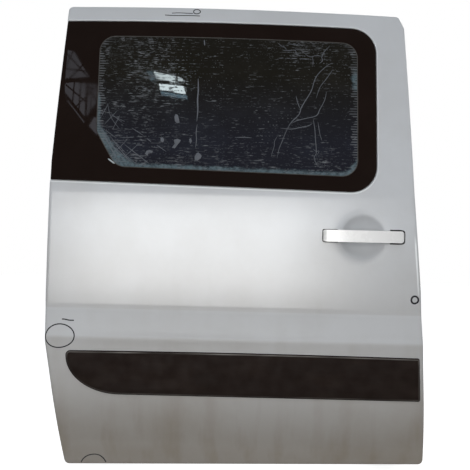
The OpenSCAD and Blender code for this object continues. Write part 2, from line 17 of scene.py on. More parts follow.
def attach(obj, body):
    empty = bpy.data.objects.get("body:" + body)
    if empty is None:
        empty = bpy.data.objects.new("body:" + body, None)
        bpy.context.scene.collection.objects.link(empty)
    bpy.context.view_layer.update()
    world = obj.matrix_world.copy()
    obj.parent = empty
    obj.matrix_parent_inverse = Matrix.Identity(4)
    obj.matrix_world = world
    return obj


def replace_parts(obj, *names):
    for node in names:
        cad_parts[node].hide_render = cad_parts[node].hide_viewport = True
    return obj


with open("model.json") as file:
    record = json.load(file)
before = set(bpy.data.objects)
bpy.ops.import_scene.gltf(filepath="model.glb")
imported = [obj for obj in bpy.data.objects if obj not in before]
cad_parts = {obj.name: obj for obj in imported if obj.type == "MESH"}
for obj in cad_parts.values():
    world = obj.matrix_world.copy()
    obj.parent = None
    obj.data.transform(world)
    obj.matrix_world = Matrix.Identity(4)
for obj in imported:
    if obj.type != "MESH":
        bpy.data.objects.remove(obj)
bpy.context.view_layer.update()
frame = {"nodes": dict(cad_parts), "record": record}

ORIGIN = np.array([469.0, 153.5, 84.0])
HALF_W = 549.0
DOOR_H = 1357.0


def row(points):
    """Door coordinates in millimetres to the row frame in metres."""
    return (np.asarray(points, float) - ORIGIN) / 1000


# The door's shape, from the same values as the solids

TUCK_IN, TUCK_H = 48.0, 232.0
BULGE_TOP, CREASE_Z, LEDGE_IN = 371.0, 457.0, 22.0
WAIST_Z, PANEL_LEAN, WAIST_SLOPE, TOP_IN = 792.0, 15.0, 0.17, 174.0
CREASE_SOFT = 7.0
LEAN_H = DOOR_H - WAIST_Z
TOP_CURL = (TOP_IN - LEDGE_IN - PANEL_LEAN - WAIST_SLOPE * LEAN_H) / LEAN_H ** 2
SKIN_T, GLASS_T, GLASS_SEAT = 1.5, 4.0, 7.0
SILL_RISE, KNEE_Z, FRONT_Z, REAR_Z, ARCH_END, ARCH_H = 24.0, 520.0, 800.0, 880.0, 475.0, 355.0


def sharp_y(z):
    """The door's side section, with sharp creases."""
    above = z - WAIST_Z
    return np.select(
        [z < TUCK_H, z < BULGE_TOP, z < CREASE_Z, z < WAIST_Z],
        [TUCK_IN * ((TUCK_H - z) / TUCK_H) ** 2, 0 * z,
         LEDGE_IN * (z - BULGE_TOP) / (CREASE_Z - BULGE_TOP),
         LEDGE_IN + PANEL_LEAN * ((z - CREASE_Z) / (WAIST_Z - CREASE_Z)) ** 2],
        LEDGE_IN + PANEL_LEAN + WAIST_SLOPE * above + TOP_CURL * above ** 2)


def out_y(z):
    """Depth of the painted surface at height z."""
    z = np.asarray(z, float)
    steps = np.linspace(-CREASE_SOFT, CREASE_SOFT, 7)
    return np.mean([sharp_y(z + s) for s in steps], axis=0)


def front_x(z):
    return HALF_W - np.interp(z, [0, KNEE_Z, FRONT_Z, DOOR_H], [0, 19, 41, 66])


def rear_x(z):
    return -HALF_W + np.interp(z, [0, ARCH_H, ARCH_END, REAR_Z, DOOR_H], [64, 5.5, 0, 1, 23])


ROOF_FRONT, ROOF_REAR = float(front_x(DOOR_H)), float(rear_x(DOOR_H))
ROOF_DROP, CREST_X = 13.0, -0.24 * HALF_W


def drop(x):
    """How far the arched roof edge lies below its crest at x."""
    return ROOF_DROP * ((x - CREST_X) / (ROOF_FRONT - CREST_X)) ** 2


def arch(x0, x1, z, count):
    """Points along the roof's arch from x0 to x1, where z is the height of its crest."""
    return [(x, z - drop(x)) for x in np.linspace(x0, x1, count + 1)]


def spoke(angle):
    """Unit vector at an angle from the first axis."""
    return np.array([math.cos(angle), math.sin(angle)])


def rounded(points, radius, steps=9, least=0.05):
    """Counter-clockwise corners as a closed loop, each that turns by the least or more rounded."""
    points = np.asarray(points, float)
    loop = []
    for a, b, c in zip(np.roll(points, 1, 0), points, np.roll(points, -1, 0)):
        u, v = (b - a) / np.linalg.norm(b - a), (c - b) / np.linalg.norm(c - b)
        turn = math.atan2(u[0] * v[1] - u[1] * v[0], float(u @ v))
        if turn < least:
            loop.append(b)
            continue
        start = b - u * radius * math.tan(turn / 2)
        centre = start + radius * np.array([-u[1], u[0]])
        base = math.atan2(*(start - centre)[::-1])
        count = max(2, round(steps * turn / (math.pi / 2)))
        loop += [centre + radius * spoke(base + turn * i / count) for i in range(count + 1)]
    return np.array(loop)


def inset(loop, d):
    """The loop moved inwards by d, or outwards where d is negative."""
    def inward(a, b):
        t = (b - a) / np.linalg.norm(b - a, axis=1)[:, None]
        return np.stack([-t[:, 1], t[:, 0]], 1)
    n1, n2 = inward(np.roll(loop, 1, 0), loop), inward(loop, np.roll(loop, -1, 0))
    return loop + d * (n1 + n2) / (1 + (n1 * n2).sum(1))[:, None]


def depth_in(points, loop):
    """Distance of each point inside the loop, negative outside it."""
    found = []
    a, b = loop, np.roll(loop, -1, 0)
    ab = b - a
    for part in np.array_split(points, max(1, len(points) // 1500)):
        ap = part[:, None] - a
        t = np.clip((ap * ab).sum(2) / (ab * ab).sum(1), 0, 1)
        near = np.linalg.norm(ap - t[..., None] * ab, axis=2).min(1)
        z = part[:, 1:]
        spans = (a[:, 1] > z) != (b[:, 1] > z)
        rise = np.where(ab[:, 1] == 0, 1, ab[:, 1])
        cross = spans & (part[:, :1] < a[:, 0] + ab[:, 0] * (z - a[:, 1]) / rise)
        found.append(np.where(cross.sum(1) % 2 == 1, near, -near))
    return np.concatenate(found)


def run_inside(loop, other):
    """The run of a loop that lies inside another one, from one crossing to the next."""
    points = []
    c, cd = other, np.roll(other, -1, 0) - other
    for a, b in zip(loop, np.roll(loop, -1, 0)):
        ab, ac = b - a, c - a
        det = ab[0] * cd[:, 1] - ab[1] * cd[:, 0]
        det = np.where(np.abs(det) < 1e-9, 1e-9, det)
        t = (ac[:, 0] * cd[:, 1] - ac[:, 1] * cd[:, 0]) / det
        s = (ac[:, 0] * ab[1] - ac[:, 1] * ab[0]) / det
        points += [a] + [a + ab * hit for hit in sorted(t[(t > 0) & (t < 1) & (s >= 0) & (s < 1)])]
    points = np.array(points)
    kept = depth_in(points, other) > -1e-6
    start = next(i for i in range(len(points)) if kept[i] and not kept[i - 1])
    return np.roll(points, -start, 0)[np.roll(kept, -start)]


def divided(loop, levels, step):
    """The loop with a point at each level it crosses, and none further apart than step."""
    out = []
    for a, b in zip(loop, np.roll(loop, -1, 0)):
        length = np.linalg.norm(b - a)
        cuts = [(z - a[1]) / (b[1] - a[1]) for z in levels if min(a[1], b[1]) < z < max(a[1], b[1])]
        cuts += list(np.linspace(0, 1, int(length // step) + 1, endpoint=False))[1:]
        kept = [0.0]
        for t in sorted(cuts):
            if (t - kept[-1]) * length > 0.5 and (1 - t) * length > 0.5:
                kept.append(t)
        out += [a + (b - a) * t for t in kept]
    return np.array(out)


DOOR_R, ROOF_CORNER_W, ROOF_CORNER_H = 14.0, 15.0, 36.0
DOOR = rounded(
    [(rear_x(0), 0), (front_x(0), SILL_RISE)]
    + [(front_x(z), z) for z in (KNEE_Z, FRONT_Z, DOOR_H - ROOF_DROP - ROOF_CORNER_H)]
    + arch(ROOF_FRONT - ROOF_CORNER_W, ROOF_REAR, DOOR_H, 9)
    + [(rear_x(z), z) for z in (REAR_Z, ARCH_END, ARCH_H)], DOOR_R)

COLUMN_W, WAIST_STRIP, ROOF_STRIP = 108.0, 11.0, 45.0
GLASS_R, GLASS_GAP, GLASS_RAKE = 78.0, 2.0, 20.0
GLASS_FRONT, PAST_EDGE = float(front_x(FRONT_Z)) - COLUMN_W, HALF_W + 2 * GLASS_R
GLASS_LOW, GLASS_HIGH = WAIST_Z + WAIST_STRIP, DOOR_H - ROOF_STRIP
POCKET = rounded([(-PAST_EDGE, GLASS_LOW + GLASS_RAKE), (GLASS_FRONT, GLASS_LOW)]
                 + arch(GLASS_FRONT, -HALF_W, GLASS_HIGH, 8)
                 + [(-PAST_EDGE, GLASS_HIGH - drop(-HALF_W))], GLASS_R, 16)
BORDER_REAR, BORDER_FRONT, BORDER_TOP, BORDER_BOTTOM = 127.0, 56.0, 48.0, 47.0
CLEAR_REAR, CLEAR_FRONT = -HALF_W + BORDER_REAR, GLASS_FRONT - BORDER_FRONT
CLEAR_LOW, CLEAR_HIGH = GLASS_LOW + BORDER_BOTTOM, GLASS_HIGH - BORDER_TOP
CLEAR_RAKE = GLASS_RAKE * (CLEAR_FRONT - CLEAR_REAR) / (GLASS_FRONT + PAST_EDGE)
CLEAR_CUT_W, CLEAR_CUT_H, CLEAR_LEAN, CLEAR_R = 62.0, 118.0, 4.0, 48.0
CLEAR = rounded([(CLEAR_REAR + CLEAR_CUT_W, CLEAR_LOW + CLEAR_RAKE), (CLEAR_FRONT, CLEAR_LOW)]
                + arch(CLEAR_FRONT, CLEAR_REAR - CLEAR_LEAN, CLEAR_HIGH, 6)
                + [(CLEAR_REAR, CLEAR_LOW + CLEAR_CUT_H)], CLEAR_R, 14)
glass_line, rear_line = inset(POCKET, GLASS_GAP), inset(DOOR, GLASS_GAP)
glass_run, rear_run = run_inside(glass_line, rear_line), run_inside(rear_line, glass_line)
GLASS = rounded(np.concatenate([glass_run, rear_run[1:-1]]), 4, 4, 0.6)

HANDLE_Z, HANDLE_LEN, HANDLE_GAP, STEM_IN = 679.0, 231.0, 42.0, 24.0
HANDLE_FRONT = float(front_x(HANDLE_Z)) - HANDLE_GAP
HANDLE_REAR = HANDLE_FRONT - HANDLE_LEN
SKIN_Y = float(out_y(HANDLE_Z))
CUP_R, CUP_D, CUP_BACK = 64.0, 30.0, 115.0
CUP = np.array([HANDLE_FRONT - CUP_BACK, HANDLE_Z])
BALL_R = (CUP_R ** 2 + CUP_D ** 2) / (2 * CUP_D)
CUP_RIM_SOFT, CUP_REACH, CUP_FADE = 5.0, 92.0, 10.0
ROLL_W, ROLL_D, HEM_W = 8.0, 3.0, 10.0
POCKET_EDGE = [-2.2, -1.5, -0.8, -0.25, 0, 0.8], [0, 0.07, 0.35, 0.85, 1.4, GLASS_SEAT]
DENT, DENT_R, DENT_D = np.array([-535.3, 378.7]), 9.0, 0.9
STEM_X = HANDLE_REAR + STEM_IN
SLOT_REAR, SLOT_FRONT, SLOT_LOW, SLOT_HIGH = STEM_X - 16.5, STEM_X + 9.5, HANDLE_Z - 13, HANDLE_Z + 13
STEM_SLOT = rounded([(SLOT_REAR, SLOT_LOW), (SLOT_FRONT, SLOT_LOW), (SLOT_FRONT, SLOT_HIGH),
                     (SLOT_REAR, SLOT_HIGH)], 3, 3)


def painted_y(p):
    """Depth of the painted surface at the points (x, z), without the glass's pocket or the rolled edge."""
    y = out_y(p[:, 1])
    r = np.linalg.norm(p - CUP, axis=1)
    ball = SKIN_Y + CUP_D - BALL_R + np.sqrt(np.maximum(BALL_R ** 2 - r ** 2, 0))
    gap = ball - y
    cup = (gap + np.sqrt(gap ** 2 + CUP_RIM_SOFT ** 2)) / 2
    dent = np.linalg.norm(p - DENT, axis=1) / DENT_R
    return y + cup * np.clip((CUP_REACH - r) / CUP_FADE, 0, 1) + DENT_D * np.exp(-dent ** 2)


def rolled(p, loop, width, depth):
    """How far a surface falls back towards the loop's edge, as a quarter of an ellipse."""
    edge = np.clip(depth_in(p, loop), 0, width)
    return depth * (1 - np.sqrt(1 - (1 - edge / width) ** 2))


def skin_front(p):
    return painted_y(p) + rolled(p, DOOR, ROLL_W, ROLL_D) + np.interp(depth_in(p, POCKET), *POCKET_EDGE)


def skin_back(p):
    edge, pocket = depth_in(p, DOOR), depth_in(p, POCKET)
    hem = np.where(pocket < 0, np.interp(edge, [HEM_W, HEM_W + 0.6], [2 * SKIN_T, SKIN_T]), SKIN_T)
    return painted_y(p) + hem + np.interp(pocket, [-SKIN_T, -SKIN_T + 0.8], [0, GLASS_SEAT])


# Meshes


def new_object(name, data):
    obj = bpy.data.objects.new(name, data)
    bpy.context.scene.collection.objects.link(obj)
    return obj


def meshed(name, points, faces, material=None):
    """Object with a mesh whose points are given in door coordinates."""
    mesh = bpy.data.meshes.new(name)
    mesh.from_pydata([tuple(p) for p in row(points)], [], faces)
    if material:
        mesh.materials.append(material)
    return new_object(name, mesh)


def laid(p, surface, lift=0.0):
    """The points (x, z) on a surface, or lifted off it, in door coordinates."""
    return np.column_stack([p[:, 0], surface(p) - lift, p[:, 1]])


def shaded(obj, angle=35):
    """Smooth, but sharp where two faces meet at more than the angle."""
    mesh = bmesh.new()
    mesh.from_mesh(obj.data)
    for face in mesh.faces:
        face.smooth = True
    for edge in mesh.edges:
        edge.smooth = len(edge.link_faces) == 2 and edge.calc_face_angle(0) < math.radians(angle)
    mesh.to_mesh(obj.data)
    mesh.free()
    return obj


EDGE_STEP, CLEARANCE = 12.0, 2.5


def plate(name, border, front, back, holes, creases, levels, columns, extra=()):
    """Sheet inside the border loop, outside the holes, between two surfaces that depend on (x, z).

    It has points along the loops and creases, where the levels and columns cross, and at the extra ones.
    Returns the object and the flat points (x, z) of its front.
    """
    lines = [divided(loop, levels, EDGE_STEP) for loop in (border, *holes, *creases)]
    grid = np.array([(x, z) for z in levels for x in columns] + [tuple(p) for p in extra])
    ok = depth_in(grid, border) > CLEARANCE
    for loop in (*holes, *creases):
        ok &= np.abs(depth_in(grid, loop)) > CLEARANCE
    for loop in holes:
        ok &= depth_in(grid, loop) < 0
    grid = grid[ok]
    points, edges = [tuple(p) for p in grid], []
    for line in lines:
        start = len(points)
        points += [tuple(p) for p in line]
        edges += [(start + i, start + (i + 1) % len(line)) for i in range(len(line))]
    flat, _, faces, *_ = delaunay_2d_cdt([Vector(p) for p in points], edges, [], 0, 1e-5)
    flat = np.array([tuple(p) for p in flat])
    faces = np.array([tuple(f) for f in faces])
    middle = flat[faces].mean(1)
    keep = depth_in(middle, border) > 0
    for loop in holes:
        keep &= depth_in(middle, loop) < 0
    a, b, c = (flat[faces[:, i]] for i in range(3))
    area = (b[:, 0] - a[:, 0]) * (c[:, 1] - a[:, 1]) - (b[:, 1] - a[:, 1]) * (c[:, 0] - a[:, 0])
    faces = np.where((area > 0)[:, None], faces, faces[:, ::-1])[keep & (np.abs(area) > 1e-4)]
    used = np.unique(faces)
    index = -np.ones(len(flat), int)
    index[used] = np.arange(len(used))
    faces, flat = index[faces], flat[used]
    n = len(flat)
    faces = faces.tolist()
    sides = dict.fromkeys(side for f in faces for side in zip(f, f[1:] + f[:1]))
    walls = [(i, i + n, j + n, j) for i, j in sides if (j, i) not in sides]
    shape = faces + [[i + n for i in f[::-1]] for f in faces] + walls
    return shaded(meshed(name, np.concatenate([laid(flat, front), laid(flat, back)]), shape)), flat


def vertex_value(obj, name, values):
    """Gives the plate's points, front and back, a value that its material reads."""
    layer = obj.data.attributes.new(name, "FLOAT", "POINT")
    layer.data.foreach_set("value", np.tile(values, 2).astype(np.float32))


def spaced(*spans):
    """Levels from (start, end, step) spans, without repeats."""
    found = sorted({round(float(v), 2) for a, b, s in spans for v in np.arange(a, b + s / 2, s)})
    return [v for i, v in enumerate(found) if i == 0 or v - found[i - 1] > 0.7]


def rings(centre, radii, count):
    """Points on circles about the centre, each circle half a step on from the one before."""
    return [centre + r * spoke(2 * math.pi * (i + k % 2 / 2) / count)
            for k, r in enumerate(radii) for i in range(count)]


# Materials


class Nodes:
    """The node tree of a material or a world, and the coordinates that its textures use."""

    def __init__(self, owner, place):
        owner.use_nodes = True
        self.tree = owner.node_tree
        self.place = self.node("ShaderNodeTexCoord").outputs[place]

    def fill(self, target, value):
        """Gives the target a link to a socket, or a value, which may be a colour of three parts."""
        if isinstance(value, bpy.types.NodeSocket):
            self.tree.links.new(value, target)
        else:
            target.default_value = (*value, 1) if target.type == "RGBA" else value

    def node(self, kind, inputs=None, **props):
        made = self.tree.nodes.new(kind)
        for key, value in props.items():
            setattr(made, key, value)
        for key, value in (inputs or {}).items():
            self.fill(made.inputs[key], value)
        return made

    def stretched(self, scale, turn=(0, 0, 0)):
        if not scale:
            return self.place
        inputs = {"Vector": self.place, "Scale": scale, "Rotation": turn}
        return self.node("ShaderNodeMapping", inputs).outputs["Vector"]

    def noise(self, scale, detail, stretch=None, rough=0.5, turn=(0, 0, 0)):
        place = self.stretched(stretch, turn)
        inputs = {"Vector": place, "Scale": scale, "Detail": detail, "Roughness": rough}
        return self.node("ShaderNodeTexNoise", inputs).outputs["Fac"]

    def cells(self, scale, stretch=None):
        inputs = {"Vector": self.stretched(stretch), "Scale": scale}
        return self.node("ShaderNodeTexVoronoi", inputs).outputs["Distance"]

    def along(self, axis):
        return self.node("ShaderNodeSeparateXYZ", {0: self.place}).outputs[axis]

    def ranged(self, source, low, high, to_low=0.0, to_high=1.0):
        inputs = {"Value": source, "From Min": low, "From Max": high, "To Min": to_low, "To Max": to_high}
        return self.node("ShaderNodeMapRange", inputs).outputs["Result"]

    def attribute(self, name):
        return self.node("ShaderNodeAttribute", attribute_name=name).outputs["Fac"]

    def maths(self, kind, first, *others):
        """The first value joined with each of the others in turn."""
        for other in others:
            first = self.node("ShaderNodeMath", {0: first, 1: other}, operation=kind).outputs[0]
        return first

    def plus(self, *values):
        return self.maths("ADD", *values)

    def times(self, *values):
        return self.maths("MULTIPLY", *values)

    def most(self, *values):
        return self.maths("MAXIMUM", *values)

    def away(self, source, middle):
        """How far a value is from the middle one."""
        return self.maths("ABSOLUTE", self.maths("SUBTRACT", source, middle), 0)

    def mixed(self, share, a, b):
        inputs = {"Factor": share, "A": a, "B": b}
        return self.node("ShaderNodeMix", inputs, data_type="RGBA").outputs["Result"]

    def white_for_rays(self, plain, white, output):
        """Shows the white shader to the camera, to gloss and to clear matter, else the plain one."""
        rays = self.node("ShaderNodeLightPath").outputs
        seen = self.most(rays["Is Camera Ray"], rays["Is Glossy Ray"], rays["Is Transmission Ray"])
        pick = self.node("ShaderNodeMixShader", {0: seen, 1: plain.outputs[0], 2: white.outputs[0]})
        self.fill(self.tree.nodes[output].inputs["Surface"], pick.outputs[0])


class Look(Nodes):
    """A Principled material built from noise in the object's own coordinates, in metres."""

    def __init__(self, name, **sockets):
        self.material = bpy.data.materials.new(name)
        super().__init__(self.material, "Object")
        self.shader = self.tree.nodes["Principled BSDF"]
        for key, value in sockets.items():
            self.set(key.replace("_", " "), value)

    def set(self, socket, value):
        self.fill(self.shader.inputs[socket], value)

    def bump(self, height, strength, distance):
        inputs = {"Height": height, "Strength": strength, "Distance": distance}
        for link in self.shader.inputs["Normal"].links:
            inputs["Normal"] = link.from_socket
        self.set("Normal", self.node("ShaderNodeBump", inputs).outputs["Normal"])


BULGE, CREASE = (BULGE_TOP - ORIGIN[2]) / 1000, (CREASE_Z - ORIGIN[2]) / 1000


def paint(name, colour, dust, rough, coat, dusty, darkening=0.0):
    """Paint with dust in clouds and more of it low down. The outer paint also has painted shade that darkens
    from the waist down to the crease, a little less below it, and it is darker again from just above the
    bulge down.

    The attribute painted_highlight_line is 1 along a painted highlight, a line lightened towards near-white,
    and dull_line is 1 where the gloss is worn.
    """
    look = Look(name, Coat_Weight=coat, Coat_Roughness=0.14, Specular_IOR_Level=0.4)
    z = look.along("Z")
    cloud = look.ranged(look.noise(3.5, 5, rough=0.6), 0.42, 0.75, 0, dusty)
    low = look.ranged(z, 0.2, -0.04, 0, 0.6)
    if darkening:
        # Painted shade: darker from the waist down to the crease and a little less below it. Darker again
        # from just above the bulge down.
        below_bulge = look.ranged(z, BULGE + 0.007, BULGE - 0.002, 0, darkening * 0.52)
        film = look.ranged(z, 0.64, CREASE + 0.002, 0, darkening * 0.8)
        shade_eased_below_crease = look.ranged(z, CREASE - 0.001, CREASE - 0.004, 0, darkening * 0.3)
        low = look.plus(below_bulge, look.maths("SUBTRACT", film, shade_eased_below_crease), low)
    streak = look.ranged(look.noise(18, 4, (1, 1, 0.08)), 0.5, 0.8, 0, 0.14)
    dirt_and_shade = look.plus(cloud, look.times(low, look.plus(streak, 0.7)))
    tone = look.mixed(look.ranged(dirt_and_shade, 0, 1), colour, dust)
    if darkening:
        # Painted highlight: the line in painted_highlight_line is lightened towards near-white.
        tone = look.mixed(look.ranged(look.attribute("painted_highlight_line"), 0, 0.8), tone, (0.92, 0.95, 0.97))
        dull = look.attribute("dull_line")
        gloss = look.ranged(below_bulge, 0, 0.3, coat, coat * 0.25)
        look.set("Coat Weight", look.times(gloss, look.ranged(dull, 0, 1, 1, 0.15)))
        dirt_and_shade = look.plus(dirt_and_shade, look.times(dull, 0.5))
    look.set("Base Color", tone)
    grit = look.ranged(look.noise(60, 2), 0.3, 0.7, 0, 0.2)
    look.set("Roughness", look.ranged(look.plus(dirt_and_shade, grit), 0, 1, rough, rough + 0.3))
    look.bump(look.noise(420, 2), 0.05, 0.0004)
    look.bump(look.noise(9, 2), 0.08, 0.002)
    return look.material


def rubber(name, colour, worn):
    look = Look(name, Specular_IOR_Level=0.35)
    patch = look.ranged(look.noise(22, 5, rough=0.65), 0.45, 0.8, 0, 0.7)
    look.set("Base Color", look.mixed(patch, colour, worn))
    look.set("Roughness", look.ranged(look.noise(70, 3), 0.3, 0.7, 0.55, 0.85))
    look.bump(look.noise(900, 3), 0.25, 0.0003)
    return look.material


def metal(name, colour, dark, rough, stretch=(1, 1, 1), metallic=1.0, rust=None):
    look = Look(name, Metallic=metallic)
    grain = look.noise(160, 4, stretch, 0.6)
    tone = look.mixed(look.ranged(look.noise(25, 5, rough=0.65), 0.35, 0.72), colour, dark)
    if rust:
        spots = look.ranged(look.noise(55, 6, rough=0.75), 0.6, 0.72, 0, 0.85)
        tone = look.mixed(spots, tone, rust)
    look.set("Base Color", tone)
    look.set("Roughness", look.ranged(grain, 0.3, 0.7, rough, rough + 0.25))
    look.bump(grain, 0.15, 0.0003)
    return look.material


def grained(name, colour, scuffed, rough=0.55, specular=0.4, rim=None):
    """Grained plastic. The attribute rim_highlight_line is 1 along a painted highlight, a line lightened in
    patches towards the rim's colour.
    """
    look = Look(name, Specular_IOR_Level=specular)
    grain = look.cells(650)
    cloud = look.ranged(look.noise(7, 5, (1, 1, 3), 0.6), 0.45, 0.8, 0, 0.55)
    scratch = look.ranged(look.noise(60, 5, (0.35, 1, 7), 0.7, (0, 0.05, 0)), 0.63, 0.72, 0, 0.4)
    tone = look.mixed(look.most(cloud, scratch), colour, scuffed)
    if rim:
        # Painted highlight: the rim line is lightened in patches towards the rim's colour.
        highlight_patches = look.ranged(look.noise(6, 2), 0.35, 0.6, 0.1, 1)
        tone = look.mixed(look.times(look.attribute("rim_highlight_line"), highlight_patches), tone, rim)
    look.set("Base Color", tone)
    look.set("Roughness", look.ranged(look.noise(30, 4), 0.3, 0.7, rough, rough + 0.22))
    look.bump(grain, 0.35, 0.0004)
    return look.material


def black_border():
    look = Look("glass_border", Specular_IOR_Level=0.12)
    film = look.ranged(look.noise(6, 5, rough=0.6), 0.45, 0.8, 0, 0.5)
    look.set("Base Color", look.mixed(film, (0.0098, 0.0050, 0.0034), (0.016, 0.0095, 0.0074)))
    look.set("Roughness", look.ranged(look.noise(14, 4), 0.4, 0.7, 0.01, 0.05))
    look.bump(look.noise(5, 1), 0.02, 0.001)
    return look.material


def privacy_glass():
    """Dark glass with the pale residue of a film that was pulled off it.

    The attribute from_rim is the distance in millimetres to the rim of the clear window.
    """
    look = Look("privacy_glass", Specular_IOR_Level=0.16)
    noise, ranged, times, plus, most = look.noise, look.ranged, look.times, look.plus, look.most
    x, z, rim = look.along("X"), look.along("Z"), look.attribute("from_rim")

    def rows(pitch, width, waver):
        """1 in the middle of level rows that waver."""
        line = plus(z, ranged(noise(7, 3), 0.3, 0.7, -waver, waver))
        phase = look.maths("FRACT", times(line, 1 / pitch), 0)
        return ranged(look.away(phase, 0.5), width, width * 0.6)

    # More of the marks at the rear, low down and in the upper front corner
    corner = times(ranged(x, -0.42, -0.3), ranged(z, 1.08, 1.14))
    wear = most(ranged(x, -0.60, -0.78), ranged(z, 0.90, 0.79), corner)
    wear = times(wear, ranged(noise(9, 3, rough=0.6), 0.35, 0.6, 0.2, 1))
    more = ranged(wear, 0, 1, 0, 0.12)

    # Level streaks, dots in rows, specks, and streaks that slope in the lower rear corner
    streaks = times(ranged(plus(noise(340, 2, (0.12, 1, 1), 0.6), more), 0.63, 0.69),
                    ranged(noise(60, 3), 0.42, 0.58))
    dots = times(rows(0.0107, 0.16, 0.003), ranged(plus(noise(260, 2, (0.7, 1, 0.6)), more), 0.6, 0.66),
                 ranged(noise(5.5, 3, rough=0.6), 0.42, 0.6, 0.15, 0.9))
    specks = times(ranged(look.cells(250, stretch=(0.8, 1, 1)), 0.22, 0.12),
                   ranged(plus(noise(24, 4, rough=0.65), more), 0.56, 0.66))
    sloped = times(ranged(noise(220, 2, (0.1, 1, 1), 0.6, (0, 0.75, 0)), 0.6, 0.66),
                   ranged(x, -0.66, -0.76), ranged(z, 0.93, 0.87))

    # A comb of short level teeth on the window's two sides
    reach = ranged(noise(60, 3, (0.2, 1, 1)), 0.3, 0.7, 5, 30)
    sides = most(ranged(x, -0.84, -0.87), ranged(x, -0.17, -0.145))
    comb = times(rows(0.0076, 0.26, 0.001), look.maths("LESS_THAN", rim, reach), sides,
                 ranged(noise(9, 2), 0.3, 0.42))
    marks = most(streaks, dots, specks, sloped, times(comb, 0.9))

    # Ragged haze next to the rim: at the foot, in the cut corner, and along a part of the front and rear
    foot = times(ranged(z, 0.86, 0.80), ranged(rim, 26, 2))
    slant = times(ranged(plus(x, z), 0.06, -0.02, 0, 1.25), ranged(rim, 64, 10))
    front = times(ranged(look.away(z, 1.052), 0.07, 0.02, 0, 0.68), ranged(x, -0.18, -0.14),
                  ranged(rim, 50, 10))
    rear = times(ranged(look.away(z, 0.93), 0.09, 0.05), ranged(x, -0.84, -0.875), ranged(rim, 20, 3))
    ragged = noise(75, 5, (0.6, 1, 1.3), 0.75)
    haze = ranged(plus(times(most(foot, slant, front, rear), 0.5), times(ragged, 0.5)), 0.47, 0.62)

    upper = ranged(z, 0.86, 1.06)
    cloud = times(ranged(noise(7, 4, (1, 1, 1.6), 0.6), 0.5, 0.72), 0.5)
    tone = look.mixed(cloud, look.mixed(upper, (0.0130, 0.0138, 0.0205), (0.0100, 0.0088, 0.0058)),
                      look.mixed(upper, (0.024, 0.028, 0.042), (0.020, 0.018, 0.014)))
    pale = look.mixed(ranged(noise(110, 3), 0.35, 0.65), (0.040, 0.062, 0.074), (0.11, 0.165, 0.19))
    tone = look.mixed(ranged(haze, 0, 1, 0, 0.85), tone, pale)
    shade = ranged(noise(38, 2), 0.3, 0.7, 0.25, 0.95)
    look.set("Base Color", look.mixed(times(marks, shade), tone, (0.15, 0.16, 0.175)))
    look.set("Roughness", ranged(most(marks, haze), 0, 1, 0.015, 0.45))
    look.bump(marks, 0.1, 0.0002)
    return look.material


# The door's white paint is greyed and tinted blue as painted shade; the handle's white is a lighter copy of
# the same paint, as painted light.
SHADED_WHITE = (0.592, 0.615, 0.645)
LIT_HANDLE_WHITE = (0.9, 0.905, 0.905)
FINISH = {
    "white_paint": paint("white_paint", SHADED_WHITE, (0.245, 0.218, 0.182), 0.3, 1.0, 0.16, 0.6),
    "white_paint_inside": paint("white_paint_inside", (0.66, 0.67, 0.67), (0.36, 0.34, 0.30), 0.38, 0.25,
                                0.5),
    "painted_plastic": paint("painted_plastic", LIT_HANDLE_WHITE, (0.6, 0.58, 0.54), 0.22, 1.0, 0.15),
    "privacy_glass": privacy_glass(),
    "adhesive": rubber("adhesive", (0.012, 0.012, 0.012), (0.03, 0.03, 0.03)),
    "grained_plastic": grained("grained_plastic", (0.0078, 0.0040, 0.0027), (0.022, 0.0145, 0.011),
                               specular=0.2, rim=(0.20, 0.187, 0.172)),
    "gasket_rubber": rubber("gasket_rubber", (0.014, 0.013, 0.013), (0.04, 0.038, 0.036)),
    "zinc_steel": metal("zinc_steel", (0.62, 0.60, 0.53), (0.36, 0.33, 0.28), 0.28, (1, 1, 6)),
    "primed_steel": metal("primed_steel", (0.05, 0.052, 0.055), (0.10, 0.10, 0.10), 0.45, metallic=0.2),
    "seal_rubber": rubber("seal_rubber", (0.013, 0.013, 0.014), (0.055, 0.052, 0.048)),
    "black_steel": metal("black_steel", (0.022, 0.022, 0.024), (0.06, 0.057, 0.053), 0.38, metallic=0.3,
                         rust=(0.12, 0.055, 0.03)),
    "roller_plastic": grained("roller_plastic", (0.50, 0.46, 0.38), (0.16, 0.14, 0.11), 0.4),
    "latch_steel": metal("latch_steel", (0.42, 0.42, 0.42), (0.22, 0.21, 0.20), 0.3),
    "dowel_plastic": grained("dowel_plastic", (0.02, 0.02, 0.02), (0.05, 0.05, 0.05), 0.45),
}
BORDER = black_border()
RIM = rubber("glass_rim", (0.06, 0.057, 0.053), (0.012, 0.011, 0.01))
RESIDUE = rubber("residue", (0.115, 0.125, 0.145), (0.04, 0.044, 0.052))
PALE_RESIDUE = rubber("pale_residue", (0.42, 0.47, 0.50), (0.22, 0.26, 0.29))
INK = rubber("marker_ink", (0.006, 0.006, 0.009), (0.02, 0.019, 0.026))

slot_of = {part["node"]: part["material_slot"] for part in frame["record"]["subparts"]}
for name, obj in frame["nodes"].items():
    obj.data.materials.clear()
    obj.data.materials.append(FINISH[slot_of[name]])

# Outer skin, glass and moulding

